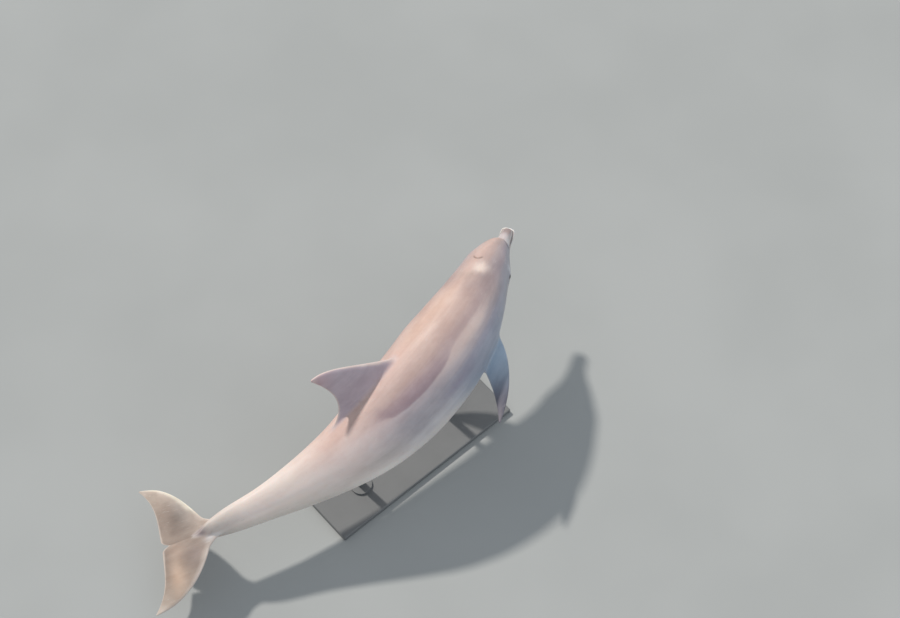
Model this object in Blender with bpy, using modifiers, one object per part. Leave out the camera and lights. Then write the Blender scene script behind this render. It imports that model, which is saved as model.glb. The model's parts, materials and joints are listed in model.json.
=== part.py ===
"""A life-size bottlenose dolphin, turning gently to its left, held on a low display stand.

The animal is first laid out straight: x runs aft from the tip of the beak, y to port, z up.
Every straight point is then carried onto a curved spine by bend(), which gives the pose.
Proportions are fractions of the length from the beak tip to the notch of the flukes.
"""
import math

import bmesh
import bpy
import numpy as np

LENGTH = 2.45        # beak tip to fluke notch, m
GAP = 0.0003         # clearance between neighbouring solids, m
AROUND = 28          # corners of every body ring
FLOOR_TO_SPINE = 0.560                 # height of the spine at mid body, m
SPINE_X, SPINE_Y = 0.2653, -0.1153     # where the spine's middle stands, m

# station, top, bottom, half width, widest level (0 bottom - 1 top), sharpness of the back and keel
SHAPE = np.array([
    (0.000, -0.0130, -0.0230, 0.0078, 0.50, 1.00),   # beak tip
    (0.006, -0.0085, -0.0290, 0.0107, 0.52, 0.93),
    (0.018, -0.0060, -0.0335, 0.0119, 0.52, 0.88),
    (0.034, -0.0025, -0.0370, 0.0134, 0.50, 0.88),
    (0.045, 0.0015, -0.0395, 0.0160, 0.48, 0.92),    # crease between beak and melon
    (0.055, 0.0138, -0.0415, 0.0198, 0.48, 0.95),
    (0.070, 0.0268, -0.0435, 0.0252, 0.48, 0.97),
    (0.090, 0.0382, -0.0475, 0.0338, 0.48, 1.00),
    (0.120, 0.0492, -0.0540, 0.0466, 0.48, 1.00),    # corner of the mouth, eyes, blowhole
    (0.150, 0.0565, -0.0600, 0.0527, 0.48, 1.00),
    (0.200, 0.0670, -0.0722, 0.0645, 0.48, 1.00),    # neck
    (0.270, 0.0815, -0.0885, 0.0785, 0.47, 0.98),    # flippers
    (0.350, 0.0925, -0.0965, 0.0860, 0.47, 0.97),
    (0.430, 0.0930, -0.0945, 0.0845, 0.47, 0.97),    # front of the dorsal fin
    (0.520, 0.0875, -0.0865, 0.0765, 0.47, 1.00),
    (0.620, 0.0710, -0.0725, 0.0590, 0.48, 1.08),    # behind the dorsal fin
    (0.720, 0.0560, -0.0560, 0.0415, 0.50, 1.20),
    (0.800, 0.0460, -0.0400, 0.0296, 0.50, 1.25),    # tail stock
    (0.870, 0.0410, -0.0285, 0.0228, 0.50, 1.20),
    (0.920, 0.0290, -0.0205, 0.0145, 0.50, 1.20),    # root of the flukes
    (0.960, 0.0150, -0.0125, 0.0085, 0.50, 1.10),
    (0.990, 0.0050, -0.0050, 0.0035, 0.50, 1.00),
])

# the pose along the spine: heading to port, nose up and lean of the back to port, degrees
POSE_AT = (0.0, 0.14, 0.28, 0.45, 0.65, 0.85, 1.02)
HEADING = (27.5, 27.5, 18.0, 6.0, -10.0, -16.0, -37.0)
NOSE_UP = (-13.0, -0.5, 11.5, 17.0, 13.5, 9.0, 27.0)
LEAN = (5.0, 19.0, 27.0, 30.5, 23.5, 13.0, -14.0)

MOUTH_AT = (0.0, 0.045, 0.075, 0.100, 0.118)     # stations of the mouth line
MOUTH_DROP = (1.0, 6.0, 17.0, 24.0, 19.0)        # its angle below the widest level, degrees

# where the body is parted: name of the piece behind each cut
CUTS = (("head", 0.118), ("neck", 0.165), ("chest", 0.215), ("midbody", 0.370),
        ("hindbody", 0.610), ("tail_stock", 0.760), ("fluke_root", 0.905))
TAIL_END = 0.985

RINGS = np.concatenate([
    [0.0, 0.003, 0.008, 0.016, 0.027, 0.038, 0.046, 0.052, 0.060, 0.072, 0.088, 0.104],
    [0.118, 0.130, 0.147, 0.165, 0.190], np.linspace(0.215, 0.370, 8),
    np.linspace(0.370, 0.610, 11)[1:], np.linspace(0.610, 0.760, 7)[1:],
    np.linspace(0.760, 0.905, 7)[1:], [0.928, 0.950, 0.970, 0.985]])

# edges of the fins as curves of four control points, in (station, height) or (station, side)
DORSAL_LEAD = ((0.375, 0.066), (0.458, 0.141), (0.509, 0.1985), (0.5665, 0.2020))
DORSAL_TRAIL = ((0.622, 0.066), (0.516, 0.1015), (0.560, 0.174), (0.5705, 0.1955))
FLUKE_LEAD = ((0.905, 0.000), (0.936, 0.051), (0.960, 0.114), (1.058, 0.1265))
FLUKE_TRAIL = ((1.0225, 0.000), (1.0275, 0.042), (1.018, 0.083), (1.063, 0.1245))
FLUKE_NOTCH = (0.016, 0.011)      # depth and half width of the notch
FLUKE_DROOP = 0.010               # how far the fluke tips hang below their root
FLIPPER_LEAD = ((-0.045, -0.012), (0.005, 0.034), (0.080, 0.043), (0.153, 0.0275))
FLIPPER_TRAIL = ((0.010, -0.034), (0.060, -0.020), (0.085, 0.008), (0.1525, 0.0235))
FLIPPER_ROOT = (0.255, 0.048, -0.060)     # station, side, height
FLIPPER_SPAN = (0.868, 0.398, -0.297)     # aft, outward, up
FLIPPER_CHORD = (-0.494, 0.7515, -0.437)
DORSAL_THICK, FLUKE_THICK, FLIPPER_THICK = 0.0125, 0.0115, 0.0095   # greatest half thickness
DORSAL_TIP, FLUKE_TIP, FLIPPER_TIP = 0.0018, 0.0011, 0.0012         # half thickness at the tip
FIN_ROWS, FOIL_POINTS = 13, 11      # sections of a fin, and points on each face of a section
CREASE = 0.046                      # station where the upper beak meets the melon
JAW_POINTS = (19, 15)               # points across the upper and the lower jaw

EYE_AT, EYE_BELOW, EYE_RADIUS, EYE_SUNK = 0.131, 6.0, 0.0125, 0.0085

BASE_SIZE = (1.10, 0.46, 0.030)
BASE_X, BASE_Y, BASE_EDGE = 0.26, -0.06, 0.006
ROD_RADIUS, FOOT_RADIUS, FOOT_HEIGHT = 0.019, 0.055, 0.012
ROD_AT = {"front": 0.330, "rear": 0.580}
SHARP = math.radians(35)            # edges that turn more than this stay sharp in the shading


def curve(x, xs, ys):
    """Smooth monotone curve through (xs, ys): cubic pieces whose slopes never overshoot."""
    xs, ys = np.asarray(xs, float), np.asarray(ys, float)
    step = np.diff(xs)
    rise = np.diff(ys) / step
    slope = np.concatenate([rise[:1], np.zeros(len(xs) - 2), rise[-1:]])
    before, after = 2 * step[1:] + step[:-1], step[1:] + 2 * step[:-1]
    same = rise[:-1] * rise[1:] > 0
    low, high = np.where(same, rise[:-1], 1.0), np.where(same, rise[1:], 1.0)
    slope[1:-1] = np.where(same, (before + after) / (before / low + after / high), 0.0)
    k = np.clip(np.searchsorted(xs, x, side="right") - 1, 0, len(step) - 1)
    t = np.clip((x - xs[k]) / step[k], 0.0, 1.0)
    return ((2 * t**3 - 3 * t**2 + 1) * ys[k] + (t**3 - 2 * t**2 + t) * step[k] * slope[k]
            + (3 * t**2 - 2 * t**3) * ys[k + 1] + (t**3 - t**2) * step[k] * slope[k + 1])


def bezier(points, t):
    """Points of the cubic curve with four control points."""
    p = np.asarray(points, float)
    t = np.asarray(t, float)[:, None]
    return ((1 - t)**3 * p[0] + 3 * (1 - t)**2 * t * p[1]
            + 3 * (1 - t) * t**2 * p[2] + t**3 * p[3])


def spine():
    """Stations along the spine with their centres and their port and upward directions."""
    s = np.linspace(-0.05, 1.10, 461)
    yaw, pitch, lean = (np.radians(curve(s, POSE_AT, v)) for v in (HEADING, NOSE_UP, LEAN))
    ahead = np.stack([np.cos(pitch) * np.cos(yaw), np.cos(pitch) * np.sin(yaw),
                      np.sin(pitch)], 1)
    level = np.stack([-np.sin(yaw), np.cos(yaw), np.zeros_like(yaw)], 1)
    upright = np.cross(ahead, level)
    up = np.cos(lean)[:, None] * upright + np.sin(lean)[:, None] * level
    port = np.cos(lean)[:, None] * level - np.sin(lean)[:, None] * upright
    steps = (ahead[1:] + ahead[:-1]) / 2 * (s[1] - s[0]) * LENGTH
    centre = np.vstack([np.zeros(3), -np.cumsum(steps, axis=0)])
    middle = [np.interp(0.45, s, centre[:, k]) for k in range(3)]
    return s, centre - middle + (SPINE_X, SPINE_Y, FLOOR_TO_SPINE), port, up


SPINE = spine()


def bend(points):
    """Carry straight points (aft, port, up) onto the curved spine."""
    s, centre, port, up = SPINE
    x, y, z = np.asarray(points, float).T

    def at(table):
        return np.stack([np.interp(x / LENGTH, s, table[:, k]) for k in range(3)], 1)
    return at(centre) + y[:, None] * at(port) + z[:, None] * at(up)


def section(s):
    """Top, bottom, half width, widest height and sharpness of the body at station s."""
    top, bottom, half, level, sharp = (float(curve(s, SHAPE[:, 0], SHAPE[:, k]))
                                       for k in range(1, 6))
    widest = bottom + level * (top - bottom)
    return top * LENGTH, bottom * LENGTH, half * LENGTH, widest * LENGTH, sharp


def ring(s, angles, grow=0.0):
    """Straight points of the body surface at station s; angle 0 is port, 90 degrees the back."""
    top, bottom, half, widest, sharp = section(s)
    c, n = np.cos(angles), np.sin(angles)
    y = (half + grow) * np.sign(c) * np.abs(c)**sharp
    z = widest + np.where(n > 0, top + grow - widest, widest - bottom + grow) * n
    return np.stack([np.full_like(y, s * LENGTH), y, z], 1)


def full_angles():
    """Evenly spaced angles right round the body, one of them on the back."""
    return np.arange(AROUND) * 2 * math.pi / AROUND


def collection(name):
    """A collection of this name linked to the scene."""
    made = bpy.data.collections.new(name)
    bpy.context.scene.collection.children.link(made)
    return made


def material(name, colour, roughness, metallic=0.0):
    """A plain Principled material."""
    made = bpy.data.materials.new(name)
    made.use_nodes = True
    shader = made.node_tree.nodes["Principled BSDF"]
    shader.inputs["Base Color"].default_value = (*colour, 1.0)
    shader.inputs["Roughness"].default_value = roughness
    shader.inputs["Metallic"].default_value = metallic
    return made


def solid(name, points, faces, place, paint):
    """A mesh object from points and faces, turned right side out."""
    mesh = bpy.data.meshes.new(name)
    mesh.from_pydata([tuple(p) for p in points], [], faces)
    work = bmesh.new()
    work.from_mesh(mesh)
    bmesh.ops.recalc_face_normals(work, faces=work.faces)
    work.to_mesh(mesh)
    work.free()
    mesh.materials.append(paint)
    made = bpy.data.objects.new(name, mesh)
    place.objects.link(made)
    return made


def flat_end(first, count):
    """The end of a body piece, as one flat face."""
    return [list(range(first, first + count))]


def curved_end(first, count):
    """The root or tip of a fin, as faces between the matching points of its two sides."""
    half = count // 2
    faces = [[first + i, first + i + 1, first + count - 2 - i, first + count - 1 - i]
             for i in range(half - 1)]
    return faces + [[first + half - 1, first + half, first + half + 1]]


def loft(name, rings, place, paint, end=flat_end):
    """A closed solid through rings of equal length, closed at each end.

    The sides are triangles split the same way everywhere, so a trimming copy that is larger
    by the gap runs parallel to its original.
    """
    count = len(rings[0])
    faces = []
    for r in range(len(rings) - 1):
        for i in range(count):
            a, b = r * count + i, r * count + (i + 1) % count
            faces += [[a, b, b + count], [a, b + count, a + count]]
    faces += end(0, count) + end((len(rings) - 1) * count, count)
    return solid(name, bend(np.vstack(rings)), faces, place, paint)


def cut(target, cutter, operation="DIFFERENCE"):
    """Apply one Boolean to target."""
    step = target.modifiers.new("cut", "BOOLEAN")
    step.object, step.operation, step.solver = cutter, operation, "EXACT"
    with bpy.context.temp_override(object=target, active_object=target):
        bpy.ops.object.modifier_apply(modifier=step.name)


def stations(first, last):
    """The ring stations from first to last, parted from the neighbouring pieces by a gap."""
    inner = RINGS[(RINGS > first + 1e-6) & (RINGS < last - 1e-6)]
    return np.concatenate([[first + GAP / LENGTH], inner, [last]])


def body_pieces(place, paint):
    """The trunk in the lengths a person would name, nose to tail."""
    ends = [s for _, s in CUTS[1:]] + [TAIL_END]
    return {name: loft(name, [ring(s, full_angles()) for s in stations(first, last)],
                       place, paint)
            for (name, first), last in zip(CUTS, ends)}


def mouth_angle(s):
    """Angle of the mouth line below the widest level."""
    return math.radians(float(curve(s, MOUTH_AT, MOUTH_DROP)))


def jaws(place, paint):
    """Upper beak, melon and lower jaw, met along the mouth line."""
    corner = CUTS[0][1]

    def above(s):
        drop = mouth_angle(s)
        return ring(s, np.linspace(-drop, math.pi + drop, JAW_POINTS[0]))

    def below(s):
        drop = mouth_angle(s)
        points = ring(s, np.linspace(2 * math.pi - drop, math.pi + drop,
                                     JAW_POINTS[1]))
        points[:, 2] -= GAP
        return points
    front = np.concatenate([RINGS[RINGS < CREASE - 1e-6], [CREASE]])
    loft("upper_beak", [above(s) for s in front], place, paint)
    loft("melon", [above(s) for s in stations(CREASE, corner)], place, paint)
    whole = np.concatenate([RINGS[RINGS < corner - 1e-6], [corner]])
    loft("lower_jaw", [below(s) for s in whole], place, paint)


def foil(count):
    """Chord position and relative half thickness round a rounded, sharp-tailed section."""
    u = (1 - np.cos(np.linspace(0, math.pi, count))) / 2
    half = (1.0 - u)**0.85 * np.sqrt(u) * 1.72 + 0.02
    half[0] = 0.0
    along = np.concatenate([u[::-1], u[1:]])
    return along, np.concatenate([half[::-1], -half[1:]])


def wing(name, lead, trail, normal, thickness, place, paint):
    """A fin through foil sections between a leading and a trailing edge."""
    along, half = foil(FOIL_POINTS)
    rings = [a + along[:, None] * (b - a) + (half * t)[:, None] * normal
             for a, b, t in zip(lead, trail, thickness)]
    return loft(name, rings, place, paint, curved_end)


def rows(count):
    """Span positions from root to tip, closer together at the tip."""
    return np.sin(np.linspace(0.0, math.pi / 2, count))


def dorsal_fin(place, paint):
    """The hooked fin on the back."""
    t = rows(FIN_ROWS)
    edges = [np.insert(bezier(p, t), 1, 0.0, axis=1) * LENGTH for p in (DORSAL_LEAD, DORSAL_TRAIL)]
    thick = (DORSAL_THICK * (1 - t)**0.8 + DORSAL_TIP) * LENGTH
    return wing("dorsal_fin", *edges, np.array([0.0, 1.0, 0.0]), thick, place, paint)


def fluke(side, sign, place, paint):
    """One half of the flukes, drooping a little to its tip."""
    t = rows(FIN_ROWS)
    depth, width = FLUKE_NOTCH
    lead, trail = bezier(FLUKE_LEAD, t), bezier(FLUKE_TRAIL, t)
    trail[:, 0] -= depth * np.clip(1 - trail[:, 1] / width, 0, 1)**2

    def lift(edge):
        edge = edge + (0.0, GAP / LENGTH)
        droop = -FLUKE_DROOP * (edge[:, 1] / FLUKE_LEAD[3][1])**2
        return np.stack([edge[:, 0], sign * edge[:, 1], droop], 1) * LENGTH
    thick = (FLUKE_THICK * (1 - t)**0.8 + FLUKE_TIP) * LENGTH
    return wing("fluke_" + side, lift(lead), lift(trail), np.array([0.0, 0.0, 1.0]), thick,
                place, paint)


def flipper(side, sign, place, paint):
    """One flipper, swept back from low on the chest."""
    t = rows(FIN_ROWS)
    mirror = np.array([1.0, sign, 1.0])
    span, chord = np.array(FLIPPER_SPAN), np.array(FLIPPER_CHORD)
    across = np.cross(chord, span) * mirror

    def edge(points):
        flat = bezier(points, t)
        placed = np.array(FLIPPER_ROOT) + flat[:, :1] * span + flat[:, 1:] * chord
        return placed * mirror * LENGTH
    thick = (FLIPPER_THICK * (1 - t)**0.7 + FLIPPER_TIP) * LENGTH
    return wing("flipper_" + side, edge(FLIPPER_LEAD), edge(FLIPPER_TRAIL), across, thick,
                place, paint)


def body_cutter(place, paint, first=0.16, last=TAIL_END):
    """The trunk, larger by the gap, for trimming whatever meets it."""
    inner = RINGS[(RINGS > first + 1e-6) & (RINGS < last - 1e-6)]
    rings = [ring(s, full_angles(), GAP) for s in (first, *inner, last + GAP / LENGTH)]
    return loft("body_cutter", rings, place, paint)


def eye(side, sign, head, place, cutters, paint):
    """A ball set in a socket on the side of the head."""
    angle = math.radians(-EYE_BELOW if sign > 0 else 180 + EYE_BELOW)
    spot = ring(EYE_AT, np.array([angle]))[0]
    spot[1] -= sign * EYE_SUNK
    centre = bend([spot])[0]
    for name, radius, home in (("eye_" + side, EYE_RADIUS, place),
                               ("eye_cutter_" + side, EYE_RADIUS + GAP, cutters)):
        bpy.ops.mesh.primitive_uv_sphere_add(segments=16, ring_count=10, radius=radius,
                                             location=centre)
        ball = bpy.context.object
        ball.name = ball.data.name = name
        ball.data.materials.append(paint)
        for old in ball.users_collection:
            old.objects.unlink(ball)
        home.objects.link(ball)
    cut(head, ball)


def stand(place, cutter, paint):
    """A flat base and two rods that end just under the belly."""
    bpy.ops.mesh.primitive_cube_add(size=1.0, location=(BASE_X, BASE_Y, BASE_SIZE[2] / 2))
    base = bpy.context.object
    base.scale = BASE_SIZE
    bpy.ops.object.transform_apply(scale=True)
    base.name = base.data.name = "stand_base"
    rim = base.modifiers.new("rim", "BEVEL")
    rim.width, rim.segments = BASE_EDGE, 2
    made = [base]
    for side, s in ROD_AT.items():
        x, y, _ = bend([(s * LENGTH, 0.0, 0.0)])[0]
        low = BASE_SIZE[2] + GAP
        for name, radius, bottom, top in (
                ("stand_foot_" + side, FOOT_RADIUS, low, low + FOOT_HEIGHT),
                ("stand_rod_" + side, ROD_RADIUS, low + FOOT_HEIGHT + GAP, FLOOR_TO_SPINE)):
            bpy.ops.mesh.primitive_cylinder_add(vertices=32, radius=radius, depth=top - bottom,
                                                location=(x, y, (top + bottom) / 2))
            post = bpy.context.object
            post.name = post.data.name = name
            made.append(post)
        cut(post, cutter)
    for item in made:
        item.data.materials.append(paint)
        for old in item.users_collection:
            old.objects.unlink(item)
        place.objects.link(item)


def shade(place):
    """Shade every piece smooth, and keep the edges of its flat faces sharp."""
    for item in place.objects:
        item.data.shade_smooth()
        item.data.set_sharp_from_angle(angle=SHARP)


def main():
    """Clear the scene, then make the body, the fins, the eyes and the stand."""
    for old in list(bpy.data.objects):
        bpy.data.objects.remove(old, do_unlink=True)
    place, cutters = collection("dolphin_model"), collection("cutters")
    skin = material("skin", (0.42, 0.40, 0.42), 0.45)
    dark = material("eye", (0.02, 0.015, 0.012), 0.08)
    grey = material("stand", (0.17, 0.175, 0.18), 0.42)
    pieces = body_pieces(place, skin)
    jaws(place, skin)
    trim = body_cutter(cutters, skin)
    fins = [dorsal_fin(place, skin)]
    for side, sign in (("left", 1.0), ("right", -1.0)):
        fins += [fluke(side, sign, place, skin), flipper(side, sign, place, skin)]
        eye(side, sign, pieces["head"], place, cutters, dark)
    for fin in fins:
        cut(fin, trim)
    stand(place, trim, grey)
    shade(place)
    for item in cutters.objects:
        item.hide_render, item.display_type = True, "WIRE"


main()
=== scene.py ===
"""Life-size bottlenose dolphin on a display stand: the visual model around the part's frame.

The animal is worked out straight, with x aft from the beak tip, y to port and z up. One skin is
made of the body and its fins, then carried onto the curved spine that gives the pose.
Proportions are fractions of the length from the beak tip to the notch of the flukes.
"""
import json
import logging
import math
from dataclasses import dataclass, field
from enum import Enum
from typing import Sequence

import bmesh
import bpy
import numpy as np
from mathutils import Matrix, Vector

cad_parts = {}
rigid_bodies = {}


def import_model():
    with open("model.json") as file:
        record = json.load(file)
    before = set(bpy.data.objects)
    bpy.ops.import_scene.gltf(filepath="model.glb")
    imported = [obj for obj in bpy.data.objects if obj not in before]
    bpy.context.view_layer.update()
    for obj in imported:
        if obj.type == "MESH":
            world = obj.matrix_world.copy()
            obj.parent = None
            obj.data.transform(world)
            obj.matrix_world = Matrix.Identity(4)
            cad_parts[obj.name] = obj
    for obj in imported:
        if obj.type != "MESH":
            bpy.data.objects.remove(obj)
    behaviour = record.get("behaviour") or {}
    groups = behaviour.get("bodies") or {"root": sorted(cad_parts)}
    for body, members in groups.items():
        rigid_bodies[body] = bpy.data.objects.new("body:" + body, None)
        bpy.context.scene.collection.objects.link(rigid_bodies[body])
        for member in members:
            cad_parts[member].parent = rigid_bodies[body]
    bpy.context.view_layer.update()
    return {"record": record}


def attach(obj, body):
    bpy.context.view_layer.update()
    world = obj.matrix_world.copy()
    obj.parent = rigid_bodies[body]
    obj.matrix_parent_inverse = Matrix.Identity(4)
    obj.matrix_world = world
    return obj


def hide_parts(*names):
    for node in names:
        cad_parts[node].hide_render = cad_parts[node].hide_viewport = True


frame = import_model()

log = logging.getLogger("dolphin")

LENGTH = 2.45          # beak tip to fluke notch, m
MM = 0.001
Array = np.ndarray
Socket = bpy.types.NodeSocket
Source = Socket | float | tuple      # what feeds a node's input: an output or a constant


class Side(Enum):
    """The two sides of the animal; the value is the sign of y."""
    LEFT = 1.0
    RIGHT = -1.0


# ---- curves ------------------------------------------------------------------------------

def curve(x: Array, xs: Sequence[float], ys: Sequence[float]) -> Array:
    """Smooth monotone curve: cubic pieces whose slopes are weighted harmonic means.

    Args:
        x: where to read the curve.
        xs: rising positions of the given points.
        ys: values there.
    Returns:
        The values at x, held constant beyond the ends.
    """
    xs, ys = np.asarray(xs, float), np.asarray(ys, float)
    step = np.diff(xs)
    rise = np.diff(ys) / step
    slope = np.concatenate([rise[:1], np.zeros(len(xs) - 2), rise[-1:]])
    before, after = 2 * step[1:] + step[:-1], step[1:] + 2 * step[:-1]
    same = rise[:-1] * rise[1:] > 0
    low, high = np.where(same, rise[:-1], 1.0), np.where(same, rise[1:], 1.0)
    slope[1:-1] = np.where(same, (before + after) / (before / low + after / high), 0.0)
    k = np.clip(np.searchsorted(xs, x, side="right") - 1, 0, len(step) - 1)
    t = np.clip((x - xs[k]) / step[k], 0.0, 1.0)
    return ((2 * t**3 - 3 * t**2 + 1) * ys[k] + (t**3 - 2 * t**2 + t) * step[k] * slope[k]
            + (3 * t**2 - 2 * t**3) * ys[k + 1] + (t**3 - t**2) * step[k] * slope[k + 1])


def bezier(points: Sequence[Sequence[float]], t: Array) -> Array:
    """Points at t of the cubic curve with four control points.

    Args:
        points: the four control points.
        t: positions from 0 at the first point to 1 at the last.
    Returns:
        One row for each t.
    """
    p = np.asarray(points, float)
    t = np.asarray(t, float)[:, None]
    return ((1 - t)**3 * p[0] + 3 * (1 - t)**2 * t * p[1]
            + 3 * (1 - t) * t**2 * p[2] + t**3 * p[3])


def bump(x: Array, width: float) -> Array:
    """A bell of height 1 at x = 0: exp of minus the square of x over width."""
    return np.exp(-(x / width)**2)


def step_up(x: Array, low: float, high: float) -> Array:
    """Smooth step from 0 at low to 1 at high, as 3t squared minus 2t cubed."""
    t = np.clip((x - low) / (high - low), 0.0, 1.0)
    return t * t * (3 - 2 * t)


def ramp_down(x: Array, way: float) -> Array:
    """Straight fall from 1 at x = 0 to 0 at the end of the way."""
    return np.clip(1 - x / way, 0, 1)


def shares(count: int, closer: float = 0.0) -> Array:
    """Shares t of a way after its start, t (1 + closer - closer t): closer at the end."""
    t = np.linspace(0, 1, count)[1:]
    return t * (1 + closer - closer * t)


# ---- the straight body and the spine -----------------------------------------------------

@dataclass(frozen=True)
class BodyShape:
    """The trunk without its fins, as rings along the length.

    Each row of the table is a station with the top, bottom and half width of the ring there,
    how high its widest level is (0 bottom to 1 top) and how sharp its back and keel are. tip
    is where the round tip ends, and ends bound the stations that a point can be found at.
    """
    table: tuple = (
        (0.000, -0.0130, -0.0230, 0.0078, 0.50, 1.00),
        (0.006, -0.0085, -0.0290, 0.0107, 0.52, 0.93),
        (0.018, -0.0060, -0.0335, 0.0119, 0.52, 0.88),
        (0.034, -0.0025, -0.0370, 0.0134, 0.50, 0.88),
        (0.045, 0.0015, -0.0395, 0.0160, 0.48, 0.92),
        (0.055, 0.0138, -0.0415, 0.0198, 0.48, 0.95),
        (0.070, 0.0268, -0.0435, 0.0252, 0.48, 0.97),
        (0.090, 0.0382, -0.0475, 0.0338, 0.48, 1.00),
        (0.120, 0.0492, -0.0540, 0.0466, 0.48, 1.00),
        (0.150, 0.0565, -0.0600, 0.0527, 0.48, 1.00),
        (0.200, 0.0670, -0.0722, 0.0645, 0.48, 1.00),
        (0.270, 0.0815, -0.0885, 0.0785, 0.47, 0.98),
        (0.350, 0.0925, -0.0965, 0.0860, 0.47, 0.97),
        (0.430, 0.0930, -0.0945, 0.0845, 0.47, 0.97),
        (0.520, 0.0875, -0.0865, 0.0765, 0.47, 1.00),
        (0.620, 0.0710, -0.0725, 0.0590, 0.48, 1.08),
        (0.720, 0.0560, -0.0560, 0.0415, 0.50, 1.20),
        (0.800, 0.0460, -0.0400, 0.0296, 0.50, 1.25),
        (0.870, 0.0410, -0.0285, 0.0228, 0.50, 1.20),
        (0.920, 0.0290, -0.0205, 0.0145, 0.50, 1.20),
        (0.960, 0.0150, -0.0125, 0.0085, 0.50, 1.10),
        (0.990, 0.0050, -0.0050, 0.0035, 0.50, 1.00))
    tip: float = 0.0055
    ends: tuple = (1e-4, 0.995)

    def profile(self, s: Array) -> tuple[Array, Array, Array, Array, Array]:
        """Top, bottom, half width, widest height (all m) and sharpness at stations s.

        The first stations are closed to a round tip: the ring's size is the quarter ellipse
        of the distance from the end.

        Args:
            s: stations.
        Returns:
            The five arrays.
        """
        rows = np.array(self.table)
        at = np.maximum(s, self.tip)
        top, bottom, half, level, sharp = (curve(at, rows[:, 0], row) for row in rows.T[1:])
        size = np.sqrt(1 - (1 - np.clip(s / self.tip, 0, 1))**2)
        widest = bottom + level * (top - bottom)
        top = widest + (top - widest) * size
        bottom = widest + (bottom - widest) * size
        return (top * LENGTH, bottom * LENGTH, half * size * LENGTH, widest * LENGTH, sharp)

    def point(self, s: Array, angle: Array) -> Array:
        """Surface points: half width times the powered cosine, and the heights times the sine.

        Args:
            s: stations.
            angle: angle round the body, 0 to port and 90 degrees on the back.
        Returns:
            Straight points, one more axis than s and angle.
        """
        top, bottom, half, widest, sharp = self.profile(s)
        c, n = np.cos(angle), np.sin(angle)
        y = half * np.sign(c) * np.abs(c)**sharp
        z = widest + np.where(n > 0, top - widest, widest - bottom) * n
        return np.stack([s * LENGTH + 0 * y, y, z], -1)

    def locate(self, points: Array) -> tuple[Array, Array, Array]:
        """Station, angle and rough height above the body of straight points.

        The height is the distance from the ring's middle times one minus one over the size
        of the ring through the point.

        Args:
            points: straight points in rows.
        Returns:
            Stations, angles and heights in metres.
        """
        s = np.clip(points[:, 0] / LENGTH, *self.ends)
        top, bottom, half, widest, sharp = self.profile(s)
        up = points[:, 2] - widest
        tall = np.where(up > 0, top - widest, widest - bottom)
        y = np.sign(points[:, 1]) * np.abs(points[:, 1] / half)**(1 / sharp)
        z = up / tall
        size = np.hypot(y, z) + 1e-9
        reach = np.hypot(points[:, 1], up)
        return s, np.arctan2(z, y), reach * (1 - 1 / size)


@dataclass(frozen=True)
class Spine:
    """The pose: heading to port, nose up and lean of the back to port along the length.

    The angles are in degrees at the stations of at. middle is the place in metres of the
    spine's point at station middle_at, and steps are the stations that it is summed over.
    """
    at: tuple = (0.0, 0.14, 0.28, 0.45, 0.65, 0.85, 1.02)
    heading: tuple = (27.5, 27.5, 18.0, 6.0, -10.0, -16.0, -37.0)
    nose_up: tuple = (-13.0, -0.5, 11.5, 17.0, 13.5, 9.0, 27.0)
    lean: tuple = (5.0, 19.0, 27.0, 30.5, 23.5, 13.0, -14.0)
    middle_at: float = 0.45
    middle: tuple = (0.2653, -0.1153, 0.560)
    steps: tuple = (-0.05, 1.10, 461)

    def frames(self) -> tuple[Array, Array, Array, Array]:
        """Stations with the centres and the port and upward directions of the spine.

        The centre is the running sum of the forward directions, which the heading and
        nose-up angles give; the lean turns the other two directions about it.

        Returns:
            Stations, centres, port directions and upward directions.
        """
        s = np.linspace(*self.steps)
        yaw, pitch, lean = (np.radians(curve(s, self.at, v))
                            for v in (self.heading, self.nose_up, self.lean))
        ahead = np.stack([np.cos(pitch) * np.cos(yaw), np.cos(pitch) * np.sin(yaw),
                          np.sin(pitch)], 1)
        level = np.stack([-np.sin(yaw), np.cos(yaw), np.zeros_like(yaw)], 1)
        upright = np.cross(ahead, level)
        up = np.cos(lean)[:, None] * upright + np.sin(lean)[:, None] * level
        port = np.cos(lean)[:, None] * level - np.sin(lean)[:, None] * upright
        steps = (ahead[1:] + ahead[:-1]) / 2 * (s[1] - s[0]) * LENGTH
        centre = np.vstack([np.zeros(3), -np.cumsum(steps, axis=0)])
        middle = [np.interp(self.middle_at, s, centre[:, k]) for k in range(3)]
        return s, centre - middle + self.middle, port, up

    def bend(self, points: Array) -> Array:
        """Carry straight points onto the curved spine: centre + y port + z up.

        Args:
            points: straight points in rows.
        Returns:
            The same points in the pose.
        """
        s, centre, port, up = self.frames()
        where = points[:, 0] / LENGTH
        read = [np.stack([np.interp(where, s, t[:, k]) for k in range(3)], 1)
                for t in (centre, port, up)]
        return read[0] + points[:, 1:2] * read[1] + points[:, 2:3] * read[2]


SHAPE = BodyShape()
SPINE = Spine()


# ---- reliefs of the head -----------------------------------------------------------------

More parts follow.
